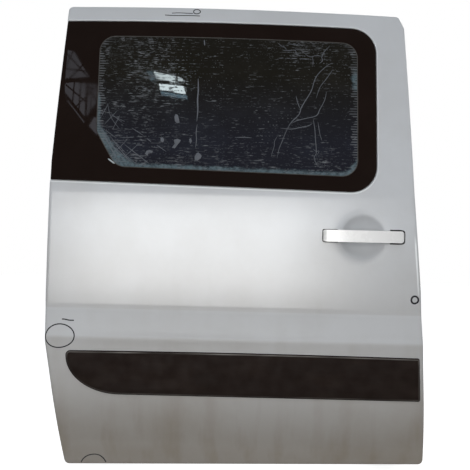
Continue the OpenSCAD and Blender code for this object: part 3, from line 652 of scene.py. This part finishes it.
COLUMN_STEP = 20
columns = range(-540, 541, COLUMN_STEP)
skin_levels = spaced(
    (2, TUCK_H - 6, 14), (TUCK_H - 6, TUCK_H + 8, 3.5), (TUCK_H + 18, BULGE_TOP - 19, 14),
    (BULGE_TOP - 14, BULGE_TOP + 14, 2), (BULGE_TOP + 21, CREASE_Z - 17, 12),
    (CREASE_Z - 14, CREASE_Z + 14, 2), (CREASE_Z + 27, WAIST_Z - 14, 12),
    (WAIST_Z - 12, WAIST_Z + 12, 2), (WAIST_Z + 20, DOOR_H - 5, 12))
cup_radii = [0.01, 8, 16, 24, 31, 38, 44, 49, 53, 56, 58.5, 61, 63, 65, 67, 69.5, 72.5, 76.5, 81, 86,
             CUP_REACH]
skin, flat = plate(
    "skin", DOOR, skin_front, skin_back, [CLEAR, STEM_SLOT],
    [inset(DOOR, d) for d in (0.35, 1.1, 2.2, 3.6, 5.4, ROLL_W, HEM_W + 0.3)]
    + [inset(POCKET, d) for d in (-5.2, -3.6, *POCKET_EDGE[0])],
    skin_levels, columns, rings(CUP, cup_radii, 56) + rings(DENT, [3, 6, 9, 12, 16, 22], 12))
skin.data.materials.append(FINISH["white_paint"])
# Painted highlights: a light line along the front edge, and one round the glass's pocket that is stronger
# low down.
hem_highlight = (np.interp(depth_in(flat, DOOR), [3.6, 5.4, ROLL_W, HEM_W + 0.3], [0, 0.6, 1, 0])
            * np.interp(flat[:, 1], [505, 530, 605, 655, 685], [0, 0.5, 1, 1, 0]) * (flat[:, 0] > 0))
pocket_highlight = (np.interp(depth_in(flat, POCKET), [-5.2, -3.6, -1.5, 0], [0, 1, 1, 0])
               * np.interp(flat[:, 1], [800, 860], [0.6, 0.2]))
vertex_value(skin, "painted_highlight_line", np.maximum(hem_highlight, pocket_highlight))
cup_rim = np.interp(np.linalg.norm(flat - CUP, axis=1), [56, 61, 76.5, 86], [0, 1, 1, 0])
crease_line = np.interp(np.abs(flat[:, 1] - CREASE_Z), [8, 12], [1, 0])
bulge_line = np.interp(flat[:, 1] - BULGE_TOP, [-25, -14, 14, 21], [0, 1, 1, 0])
vertex_value(skin, "dull_line", np.maximum(cup_rim, np.maximum(crease_line, bulge_line)))
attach(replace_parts(skin, "outer_skin"), "door")

GLASS_ROUND_W, GLASS_ROUND_D, RIM_W = 1.5, 0.6, 2.4


def glass_front(p):
    return out_y(p[:, 1]) + rolled(p, GLASS, GLASS_ROUND_W, GLASS_ROUND_D)


glass, flat = plate(
    "glass", GLASS, glass_front, lambda p: out_y(p[:, 1]) + GLASS_T, (),
    [inset(GLASS, d) for d in (0.3, 0.8, GLASS_ROUND_W)] + [inset(CLEAR, d) for d in (0, RIM_W, 8, 18, 34)],
    spaced((GLASS_LOW + 3, GLASS_HIGH - 2, 12)), range(-540, 400, COLUMN_STEP))
for finish in (FINISH["privacy_glass"], BORDER, RIM):
    glass.data.materials.append(finish)
centres = np.array([f.center for f in glass.data.polygons])[:, [0, 2]] * 1000 + ORIGIN[[0, 2]]
gap = depth_in(centres, CLEAR)
slots = np.select([gap < 0, gap < RIM_W], [1, 2], 0)
glass.data.polygons.foreach_set("material_index", slots.astype(np.int32))
vertex_value(glass, "from_rim", np.maximum(depth_in(flat, CLEAR), 0))
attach(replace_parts(glass, "window_glass"), "door")

MOULD_TOP, MOULD_H, MOULD_T, MOULD_CROWN, MOULD_SWEEP = BULGE_TOP - 36, 123.0, 9.0, 3.0, 155.0
TIP_H, TIP_R, TIP_RUN, MOULD_REAR, MOULD_INSET = 14.0, 13.0, 24.0, 57.0, 11.0
MOULD_LOW = MOULD_TOP - MOULD_H
MOULD_TIP = float(rear_x(MOULD_TOP)) + MOULD_REAR
MOULD_END = float(front_x(MOULD_TOP)) - MOULD_INSET
sweep = [(MOULD_TIP + MOULD_SWEEP * (1 - c), MOULD_TOP - TIP_H - (MOULD_H - TIP_H) * s)
         for c, s in map(spoke, np.radians(range(0, 91, 5)))]
crown = [(MOULD_END + (MOULD_TIP + TIP_RUN - MOULD_END) * t, MOULD_TOP + MOULD_CROWN * math.sin(math.pi * t))
         for t in np.linspace(0, 1, 7)]
tip = [(MOULD_TIP + TIP_R * (1 + c), MOULD_TOP + TIP_R * (s - 1))
       for c, s in map(spoke, np.radians(range(90, 180, 15)))]
MOULD = rounded(sweep + [(front_x(MOULD_LOW) - MOULD_INSET, MOULD_LOW)] + crown + tip, 5, 5, 0.5)


def mould_front(p):
    edge = depth_in(p, MOULD)
    rise = np.interp(edge, [0, 0.5, 1.5, 3, 5, 8, 12, 16], [3.2, 5.2, 6.5, 7.4, 8.1, 8.6, 8.9, MOULD_T])
    return out_y(p[:, 1]) - rise


mould, flat = plate(
    "moulding", MOULD, mould_front, lambda p: out_y(p[:, 1]) - 0.3, (),
    [inset(MOULD, d) for d in (0.5, 1.2, 2, 3.2, 5, 6.2)],
    spaced((MOULD_LOW, MOULD_TOP - 5, 6)), columns[1:])
mould.data.materials.append(FINISH["grained_plastic"])
# Painted highlight along the moulding's upper rim, strongest at the top.
upper_rim_highlight = np.interp(flat[:, 1], [MOULD_TOP - 24, MOULD_TOP - 10], [0.25, 1])
vertex_value(mould, "rim_highlight_line", upper_rim_highlight * np.interp(depth_in(flat, MOULD), [2, 3.2, 5, 6.2], [0, 1, 1, 0]))
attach(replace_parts(mould, "side_moulding"), "door")

# Marker rings and strokes, and what the film left on the window


def drawn(name, points, width, height, material, surface, closed=False, taper=False):
    """Thin line that lies on a surface, through the points (x, z)."""
    points = np.asarray(points, float)
    before, after = np.roll(points, 1, 0), np.roll(points, -1, 0)
    if not closed:
        before[0], after[-1] = points[0], points[-1]
    t = after - before
    t /= np.linalg.norm(t, axis=1)[:, None]
    n = len(points)
    half = width / 2 * (1 - 0.75 * taper * np.linspace(-1, 1, n) ** 4)
    across = np.stack([-t[:, 1], t[:, 0]], 1) * half[:, None]
    low, sunk = height * 0.4, -0.05
    section = (1, low), (1, sunk), (-1, sunk), (-1, low), (-0.5, height), (0.5, height)
    corners = [laid(points + s * across, surface, lift) for s, lift in section]
    k = len(section)
    faces = [(c * n + i, c * n + (i + 1) % n, (c + 1) % k * n + (i + 1) % n, (c + 1) % k * n + i)
             for c in range(k) for i in range(n if closed else n - 1)]
    if not closed:
        faces += [tuple(c * n for c in range(k)), tuple(c * n + n - 1 for c in reversed(range(k)))]
    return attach(meshed(name, np.concatenate(corners), faces, material), "door")


def smooth(points, count=8):
    """Curve through the points, with so many steps between one and the next."""
    p = np.asarray(points, float)
    p = np.concatenate([[2 * p[0] - p[1]], p, [2 * p[-1] - p[-2]]])
    out = []
    for a, b, c, d in zip(p, p[1:], p[2:], p[3:]):
        for t in np.linspace(0, 1, count, endpoint=False):
            out.append(0.5 * (2 * b + (c - a) * t + (2 * a - 5 * b + 4 * c - d) * t ** 2
                              + (3 * b - a - 3 * c + d) * t ** 3))
    return np.array(out + [p[-2]])


def pen(name, points, width, closed=False):
    return drawn(name, points, width, 0.22, INK, skin_front, closed)


def pen_ring(name, centre, radii, width, count=40):
    """Ring drawn by hand, so it is not quite round."""
    out = []
    for a in np.linspace(0, 2 * math.pi, count, endpoint=False):
        wobble = 1 + 0.03 * (math.sin(2 * a + 1) + 0.6 * math.sin(3 * a + 2))
        out.append(centre + wobble * np.array(radii) * spoke(a))
    pen(name, out, width, True)


pen_ring("marker_ring_rear", (-502, 374.5), (40, 34), 3.3, 64)
dash = [(-498.2 + 34.5 * i / 8, 421.6 - 3.5 * i / 8 + 0.6 * math.sin(i)) for i in range(9)]
pen("marker_dash_rear", dash, 3.3)
pen_ring("marker_ring_front", (512.4, 500.1), (9.8, 10.6), 5.2)
pen_ring("marker_ring_top", (-140, 1345.4), (10.0, 7.2), 2.8)
pen("marker_line_top", smooth([(-215.1, 1338.7), (-195, 1340.2), (-172, 1339.6), (-151.7, 1339.4)]), 2.2)
pen("marker_line_top_low", smooth([(-235.9, 1332.1), (-205, 1331.2), (-165, 1332.2), (-130.3, 1331.7)]), 2.5)
pen("marker_arc_low", smooth([(-438.3, 6.3), (-430, 19), (-416, 28.6), (-398.8, 32.1), (-384, 29),
                              (-373, 20), (-366, 8.1)]), 3.0)

# Half of the gasket's lip round the handle's front end, from its top to the handle's middle line
LIP = [(-38, 19.6), (-8, 19.6), (1.5, 17.6), (4.2, 12), (4.2, 0)]
lip_line = [(HANDLE_FRONT + x, HANDLE_Z + z) for x, z in LIP + [(x, -z) for x, z in LIP[-2::-1]]]
lip = drawn("gasket_lip", smooth(lip_line, 6), 3.2, 1.6, FINISH["gasket_rubber"], skin_front)

# Scratches and wisps of old film on the window: name, width and points
FILM = [
    ("hook", 1.8, (262, 1247), (246, 1230), (237, 1212), (239, 1199), (229, 1190)),
    ("long_a", 2.2, (266, 1192), (248, 1180), (220, 1148), (206, 1105), (189, 1075), (177, 1053),
     (170, 1032), (148, 1008), (134, 982), (123, 953), (114, 930), (108, 901)),
    ("long_b", 1.6, (271, 1174), (251, 1144), (232, 1117), (220, 1082)),
    ("long_c", 2.0, (251, 1103), (246, 1079), (232, 1050), (221, 1030), (190, 1021), (165, 1014),
     (148, 1005)),
    ("short_a", 1.8, (161, 1089), (167, 1066), (174, 1049)),
    ("short_b", 1.6, (209, 1211), (211, 1196), (210, 1184)),
    ("dash_a", 1.6, (109, 1204), (123, 1205)),
    ("dash_b", 1.8, (132, 1204), (143, 1204)),
    ("dash_c", 1.8, (149, 1204), (163, 1204)),
    ("dash_d", 1.8, (169, 1204), (186, 1203.5), (200, 1204)),
    ("tangle_a", 1.4, (105, 1252), (117, 1242), (123, 1241), (134, 1229)),
    ("tangle_b", 1.4, (134, 1251), (145, 1249), (163, 1247), (168, 1251), (177, 1244)),
    ("tangle_c", 1.6, (117, 1230), (134, 1228), (157, 1230), (163, 1216), (183, 1214)),
    ("tangle_d", 1.5, (177, 1229), (200, 1211), (220, 1215), (234, 1213)),
    ("cross_low", 2.0, (117, 990), (148, 988), (176, 994), (198, 999), (210, 1007)),
    ("right_a", 2.0, (212, 1021), (217, 990), (220, 952), (222, 919), (216, 904), (226, 879)),
    ("right_b", 1.6, (226, 1013), (232, 976), (238, 956)),
    ("right_c", 1.5, (213, 930), (221, 924), (230, 924), (222, 910)),
    ("left_low", 1.6, (91, 904), (95, 921), (99, 935), (100, 950), (107, 964)),
    ("slope_a", 1.5, (-382, 1022), (-347, 996)),
    ("slope_b", 1.6, (-318, 980), (-283, 958)),
    ("slope_c", 2.0, (-272, 949), (-260, 940)),
    ("slope_d", 1.6, (-243, 931), (-215, 912)),
    ("fan_a", 1.5, (-408, 975), (-388, 938), (-356, 890)),
    ("fan_b", 1.5, (-389, 939), (-331, 892), (-308, 874)),
    ("fan_c", 1.7, (-338, 931), (-298, 901), (-262, 875)),
    ("fan_d", 1.4, (-366, 939), (-331, 903)),
    ("fan_e", 1.4, (-400, 975), (-361, 948)),
    ("cut_a", 1.8, (-405, 978), (-378, 922), (-354, 880)),
    ("cut_b", 1.5, (-395, 965), (-363, 914), (-332, 879)),
    ("cut_c", 1.4, (-381, 955), (-347, 913), (-315, 876)),
    ("cut_d", 1.5, (-361, 927), (-325, 892), (-295, 871)),
    ("cut_e", 1.3, (-367, 903), (-329, 946)),
    ("cut_f", 1.3, (-347, 882), (-293, 936)),
    ("cut_g", 1.4, (-409, 1011), (-390, 1052)),
    ("cut_h", 1.3, (-399, 988), (-363, 1031)),
    ("cut_i", 1.3, (-374, 973), (-355, 1017)),
    ("cut_j", 1.3, (-393, 1052), (-381, 1012), (-355, 977)),
    ("cut_k", 1.2, (-384, 1018), (-338, 998)),
    ("upright_a", 3.8, (-129, 1134), (-127.5, 1100), (-128.5, 1070), (-127, 1040), (-128.5, 1004)),
    ("upright_b", 2.0, (-127, 996), (-129.5, 972), (-128, 948), (-130, 925)),
    ("upright_c", 3.0, (-115, 1256), (-113, 1238)),
    ("low_row", 1.8, (-16, 959), (10, 960), (34, 959)),
]
for name, width, *points in FILM:
    drawn(f"film_{name}", smooth(points), width, 0.1, RESIDUE, glass_front, taper=True)
corner = smooth([(-383, 887), (-373, 880), (-363, 873)])
drawn("film_corner", corner, 4.0, 0.1, PALE_RESIDUE, glass_front, taper=True)

# Outlines of the flakes of film on the window
FLAKES = [
    [(-191, 1025), (-185, 1022), (-181, 1009), (-179, 999), (-187, 997), (-193, 1004), (-195, 1017)],
    [(-194, 947), (-184, 951), (-173, 947), (-178, 939), (-184, 931), (-190, 922), (-199, 924),
     (-191, 936)],
    [(-127, 909), (-121, 912), (-111, 902), (-114, 895), (-122, 888), (-131, 890), (-132, 899)],
    [(-233, 953), (-226, 954), (-222, 947), (-225, 939), (-232, 942)],
    [(-272, 913), (-263, 916), (-253, 912), (-257, 907), (-265, 908), (-269, 899), (-276, 904)],
    [(-149, 951), (-144, 954), (-141, 945), (-145, 936), (-148, 943)],
]
for letter, points in zip("abcdef", FLAKES):
    ring = np.asarray(points, float)
    count = len(ring)
    sheets = [laid(ring, glass_front, lift) for lift in (0.12, -0.05)]
    faces = [range(count), range(2 * count - 1, count - 1, -1)]
    faces += [(i, i + count, (i + 1) % count + count, (i + 1) % count) for i in range(count)]
    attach(meshed(f"film_flake_{letter}", np.concatenate(sheets), faces, RESIDUE), "door")

# Bolts, screws and rivets

INNER_Y, ARM_T, SHUT_STEP, FRAME_D, BLOCK_T = 95.0, 5.0, 22.0, 42.0, 14.0
LATCH_Z, RELAY_X, RELAY_Z = BULGE_TOP + 239, (STEM_X - 50, STEM_X + 60), (HANDLE_Z - 70, HANDLE_Z + 20)
LOWER_X, LOWER_Z = HALF_W - 80, 84.0
MIDDLE_X, MIDDLE_Z, MIDDLE_Y, FORK_HALF = float(rear_x(WAIST_Z)) + 92, HANDLE_Z + 56, 180.0, 17.3
UPPER_X, UPPER_Z = ROOF_FRONT - 86, DOOR_H - ROOF_DROP - 33

# Bodies of each kind of fastener: (radius, height) points of its profile, and the number of its sides
FASTENERS = {
    "bolt": [([(7, -0.3), (7, 0.7), (6.5, 1.3), (5.4, 1.5)], 28),
             ([(5.4, 1.2), (5.4, 5.6), (4.7, 6.4), (2.6, 6.4), (2.3, 4.2)], 6)],
    "screw": [([(4.6, -0.3), (4.6, 0.8), (3.9, 1.9), (1.9, 1.9), (1.7, 0.9)], 24)],
    "rivet": [([(8, -0.3), (8, 1.6), (7.2, 2.4), (5, 2.4), (4.4, 3.6), (3.4, 4)], 28)],
}


def face_y(z):
    return max(INNER_Y, float(out_y(z)) + FRAME_D)


def lathed(mesh, stand, profile, sides):
    """Adds a closed body to the mesh, turned from the profile about the Z of its stand."""
    loops = [[mesh.verts.new(stand @ (Vector((*r * spoke(2 * math.pi * (i + 0.5) / sides), h)) / 1000))
              for i in range(sides)] for r, h in profile]
    for low, high in zip(loops, loops[1:]):
        for i in range(sides):
            mesh.faces.new((low[i - 1], low[i], high[i], high[i - 1]))
    mesh.faces.new(loops[0][::-1])
    mesh.faces.new(loops[-1])


def fasteners(name, kind, places):
    """One piece of fasteners of a kind, each at a place on a face and facing a way."""
    mesh = bmesh.new()
    for at, way in places:
        stand = Vector(way).to_track_quat("Z", "Y").to_matrix().to_4x4()
        stand.translation = Vector(row(at))
        for profile, sides in FASTENERS[kind]:
            lathed(mesh, stand, profile, sides)
    data = bpy.data.meshes.new(name)
    mesh.to_mesh(data)
    mesh.free()
    data.materials.append(FINISH["zinc_steel"])
    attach(shaded(new_object(name, data), 28), "door")


def front_lean(z):
    return float(front_x(z - 1) - front_x(z + 1)) / 2


INWARD, ARM_FACE = (0, 1, 0), INNER_Y + ARM_T
LATCH_SCREWS = [(72, 30), (72, -30), (48, 0)]
fasteners("bolts_lower_arm", "bolt", [((LOWER_X + s * 36, ARM_FACE, z), INWARD)
                                      for s in (-1, 1) for z in (LOWER_Z + 17, LOWER_Z - 24.5)])
fasteners("bolts_middle_arm", "bolt", [((MIDDLE_X + x, ARM_FACE, MIDDLE_Z + z), INWARD)
                                       for x in (-14, 50) for z in (-21, 21)])
fasteners("rivets_middle_arm", "rivet", [((MIDDLE_X, MIDDLE_Y, MIDDLE_Z + s * FORK_HALF), (0, 0, s))
                                         for s in (1, -1)])
upper_way = (0, 1, face_y(UPPER_Z - 0.5) - face_y(UPPER_Z + 0.5))
fasteners("bolts_upper_arm", "bolt", [((UPPER_X + s * 21, face_y(UPPER_Z) + ARM_T, UPPER_Z), upper_way)
                                      for s in (-1, 1)])
fasteners("screws_front_latch", "screw", [((front_x(LATCH_Z + z) - SHUT_STEP, y, LATCH_Z + z),
                                           (1, 0, front_lean(LATCH_Z))) for y, z in LATCH_SCREWS])
fasteners("screws_rear_latch", "screw", [((rear_x(LATCH_Z + z) + SHUT_STEP, y, LATCH_Z + z), (-1, 0, 0))
                                         for y, z in LATCH_SCREWS])
fasteners("screws_latch_relay", "screw", [((x, INNER_Y, z), INWARD)
                                          for x in (RELAY_X[0] + 13, RELAY_X[1] - 13)
                                          for z in (RELAY_Z[0] + 13, RELAY_Z[1] - 13)])
dowel_screws = [((front_x(z) - SHUT_STEP + BLOCK_T, face_y(z) - 24, z), (1, 0, front_lean(z)))
                for z in (BULGE_TOP - 71, WAIST_Z + 328)]
wedge_screw = ((rear_x(ARCH_END) + SHUT_STEP - BLOCK_T, face_y(ARCH_END) - 24, ARCH_END), (-1, 0, 0))
fasteners("screws_shut_blocks", "screw", [*dowel_screws, wedge_screw])

# Rounded edges of the solids

ROUNDED = {
    "handle_grip": 2.6, "handle_front_mount": 0.8, "handle_rear_mount": 0.8, "handle_gaskets": 0.5,
    "lower_arm": 1.0, "middle_arm": 1.2, "upper_arm": 1.0, "middle_carriage": 0.8, "front_latch": 1.2,
    "rear_latch": 1.2, "latch_relay": 1.2, "front_dowels": 1.5, "rear_wedge": 2.0, "beam_brackets": 1.2,
}
for name, width in ROUNDED.items():
    made = frame["nodes"][name].modifiers.new("Edge", "BEVEL")
    made.width = width / 1000
    made.segments = 3
    made.limit_method = "ANGLE"
    made.angle_limit = math.radians(32)
    made.harden_normals = True

# Camera, floor and lights

CAMERA = (-8.7, -2900.0, 674.2)
camera = new_object("camera", bpy.data.cameras.new("camera"))
camera.location = row(CAMERA)
camera.rotation_euler = (math.pi / 2, math.radians(-1.4), 0)
camera.data.lens = 77.9
bpy.context.scene.camera = camera

GROUND, FLOOR_HALF, FLOOR_Z = (0.20, 0.175, 0.15), 12000.0, -1.0
look = Look("floor", Base_Color=GROUND, Roughness=0.8)
shown = look.node("ShaderNodeBsdfDiffuse", {"Color": (0.6, 0.6, 0.6)})
glow = look.node("ShaderNodeEmission", {"Strength": 0.86})
both = look.node("ShaderNodeAddShader", {0: shown.outputs[0], 1: glow.outputs[0]})
look.white_for_rays(look.shader, both, "Material Output")
SQUARE = [(-1, -1), (1, -1), (1, 1), (-1, 1)]
corners = [(ORIGIN[0] + x * FLOOR_HALF, ORIGIN[1] + y * FLOOR_HALF, FLOOR_Z) for x, y in SQUARE]
meshed("floor", corners, [(0, 1, 2, 3)], look.material)

world = bpy.data.worlds.new("studio")
bpy.context.scene.world = world
sky = Nodes(world, "Generated")
ramp = sky.node("ShaderNodeValToRGB", {"Fac": sky.ranged(sky.along("Z"), -1, 1)})
ramp.color_ramp.elements[0].color = (0.15, 0.13, 0.11, 1)
ramp.color_ramp.elements[1].color = (0.23, 0.24, 0.26, 1)
ramp.color_ramp.elements.new(0.5).color = (0.28, 0.29, 0.305, 1)
plain = sky.tree.nodes["Background"]
sky.fill(plain.inputs["Color"], ramp.outputs["Color"])
sky.white_for_rays(plain, sky.node("ShaderNodeBackground", {"Color": (1, 1, 1)}), "World Output")


def lamp(name, at, towards, size, power, colour, in_gloss):
    made = new_object(name, bpy.data.lights.new(name, "AREA"))
    made.visible_glossy = in_gloss
    made.location = row(at)
    made.rotation_euler = (Vector(row(towards)) - made.location).to_track_quat("-Z", "Y").to_euler()
    made.data.shape = "RECTANGLE"
    made.data.size, made.data.size_y = size
    made.data.energy = power
    made.data.color = colour


def seen_by_gloss(name, corners, faces, material):
    """Stage piece that only gloss shows."""
    made = meshed(name, corners, faces, material)
    made.visible_camera = made.visible_diffuse = made.visible_shadow = False


def hall_tone(name, **inputs):
    return Look(name, Base_Color=(0, 0, 0), Specular_IOR_Level=0, **inputs)


lamp("key", (-290, -3600, 860), (-200, 0, 640), (2.0, 1.6), 66, (1.0, 0.99, 0.97), False)

# What gloss shows in the key's place: a panel that is bright in the middle and fades to its edges
PANEL_X, PANEL_Y, PANEL_Z, PANEL_HALF_W, PANEL_HALF_H = -290, -3590, 920, 1200, 900
look = hall_tone("soft_panel", Emission_Color=(1.0, 0.99, 0.97))
fades = [look.ranged(look.away(look.along(axis), middle), half / 1000, half * 0.45 / 1000)
         for axis, middle, half in (("X", (PANEL_X - ORIGIN[0]) / 1000, PANEL_HALF_W),
                                    ("Z", (PANEL_Z - ORIGIN[2]) / 1000, PANEL_HALF_H))]
look.set("Emission Strength", look.times(*fades, 8.0))
corners = [(PANEL_X + x * PANEL_HALF_W, PANEL_Y, PANEL_Z + z * PANEL_HALF_H) for x, z in SQUARE]
seen_by_gloss("soft_panel", corners, [(0, 1, 2, 3)], look.material)

# The hall round the outer side, darker than the studio: walls, roof and floor
HALL_HALF_W, HALL_NEAR, HALL_FAR, HALL_H = 6500, -60, -5000, 5500
corners = [(x, y, z) for z in (0.5, HALL_H) for x, y in (
    (-HALL_HALF_W, HALL_NEAR), (-HALL_HALF_W, HALL_FAR), (HALL_HALF_W, HALL_FAR), (HALL_HALF_W, HALL_NEAR))]
seen_by_gloss("hall", corners, [(0, 1, 5, 4), (1, 2, 6, 5), (2, 3, 7, 6), (4, 5, 6, 7)],
              hall_tone("hall", Emission_Color=(0.27, 0.28, 0.295), Emission_Strength=1.0).material)
seen_by_gloss("hall_floor", corners[:4], [(0, 1, 2, 3)],
              Look("hall_floor", Base_Color=GROUND, Roughness=0.8).material)
lamp("side", (1300, -1300, 1900), (400, 0, 1000), (1.2, 1.2), 4, (0.96, 0.98, 1.0), False)
lamp("rear", (1200, 2600, 2200), (0, 0, 700), (2.0, 2.0), 40, (1, 1, 1), True)


def mirrored(x, z, far):
    """Where the camera's ray goes that meets the window at (x, z) and turns back there."""
    hit = np.array([x, float(out_y(z)), z])
    slope = float(out_y(z + 1) - out_y(z - 1)) / 2
    normal = np.array([0, -1, slope]) / math.hypot(1, slope)
    way = (hit - CAMERA) / np.linalg.norm(hit - CAMERA)
    return hit + far * (way - 2 * (way @ normal) * normal)


# What the glass reflects: name, brightness, tint, and corners as they are seen on the glass
DAY, DUSK, SHADE = (0.80, 0.93, 0.96), (0.45, 0.72, 0.90), (0.84, 0.88, 1.0)
PANE_FAR, BAR_FAR = 3000, 2980
PANES = [
    ("pane_a", 44, DAY, (-262, 1153), (-195, 1140), (-197, 1121), (-254, 1131)),
    ("pane_b", 36, DAY, (-190, 1139), (-174, 1133), (-174, 1124), (-189, 1126)),
    ("pane_c", 54, DAY, (-245, 1116), (-172, 1110), (-163, 1085), (-240, 1097)),
    ("pane_d", 11, DUSK, (-239, 1093), (-161, 1082), (-158, 1070), (-235, 1080)),
    ("pane_e", 10, DUSK, (-283, 1153), (-265, 1152), (-257, 1131), (-267, 1122)),
    ("bay_a", 3.9, SHADE, (-528, 1214), (-502, 1210), (-452, 1132), (-494, 1127), (-540, 1124),
     (-538, 1162)),
    ("bay_b", 4.3, SHADE, (-540, 1107), (-496, 1114), (-460, 1111), (-458, 1011)),
    ("bay_c", 3.6, SHADE, (-452, 1111), (-425, 1109), (-424, 1058), (-452, 1011)),
    ("bay_d", 4.6, SHADE, (-444, 983), (-429, 1011), (-408, 998), (-418, 955)),
    ("rod_d", 4.0, SHADE, (-512, 1057), (-510, 1059), (-457, 994), (-459, 991)),
]
# Dark trusses in front of them
BARS = [
    [(-526, 1204), (-459, 1133), (-456, 1135), (-523, 1206)],
    [(-505, 1211), (-538, 1133), (-534, 1132), (-502, 1210)],
    [(-473, 1171), (-511, 1125), (-508, 1123), (-469, 1169)],
    [(-538, 1155), (-464, 1147), (-463, 1150), (-537, 1159)],
    [(-496, 1117), (-498, 1044), (-494, 1044), (-492, 1117)],
    [(-477, 1114), (-478, 1021), (-474, 1021), (-473, 1114)],
    [(-526, 1109), (-457, 1053), (-455, 1056), (-523, 1112)],
    [(-427, 1108), (-490, 1037), (-487, 1035), (-424, 1106)],
    [(-442, 1111), (-444, 1017), (-441, 1017), (-439, 1111)],
    [(-454, 1103), (-425, 1054), (-422, 1055), (-450, 1105)],
]


def roof_piece(name, strength, tint, corners, far):
    name = f"roof_{name}"
    look = hall_tone(name, Emission_Color=tint, Emission_Strength=strength)
    seen = [mirrored(x, z, far) for x, z in corners]
    meshed(name, seen, [range(len(seen))], look.material)


for name, strength, tint, *corners in PANES:
    roof_piece(name, strength, tint, corners, PANE_FAR)
for letter, corners in zip("abcdefghij", BARS):
    roof_piece(f"bar_{letter}", 0.0, SHADE, corners, BAR_FAR)

bpy.context.scene.view_settings.view_transform = "Standard"
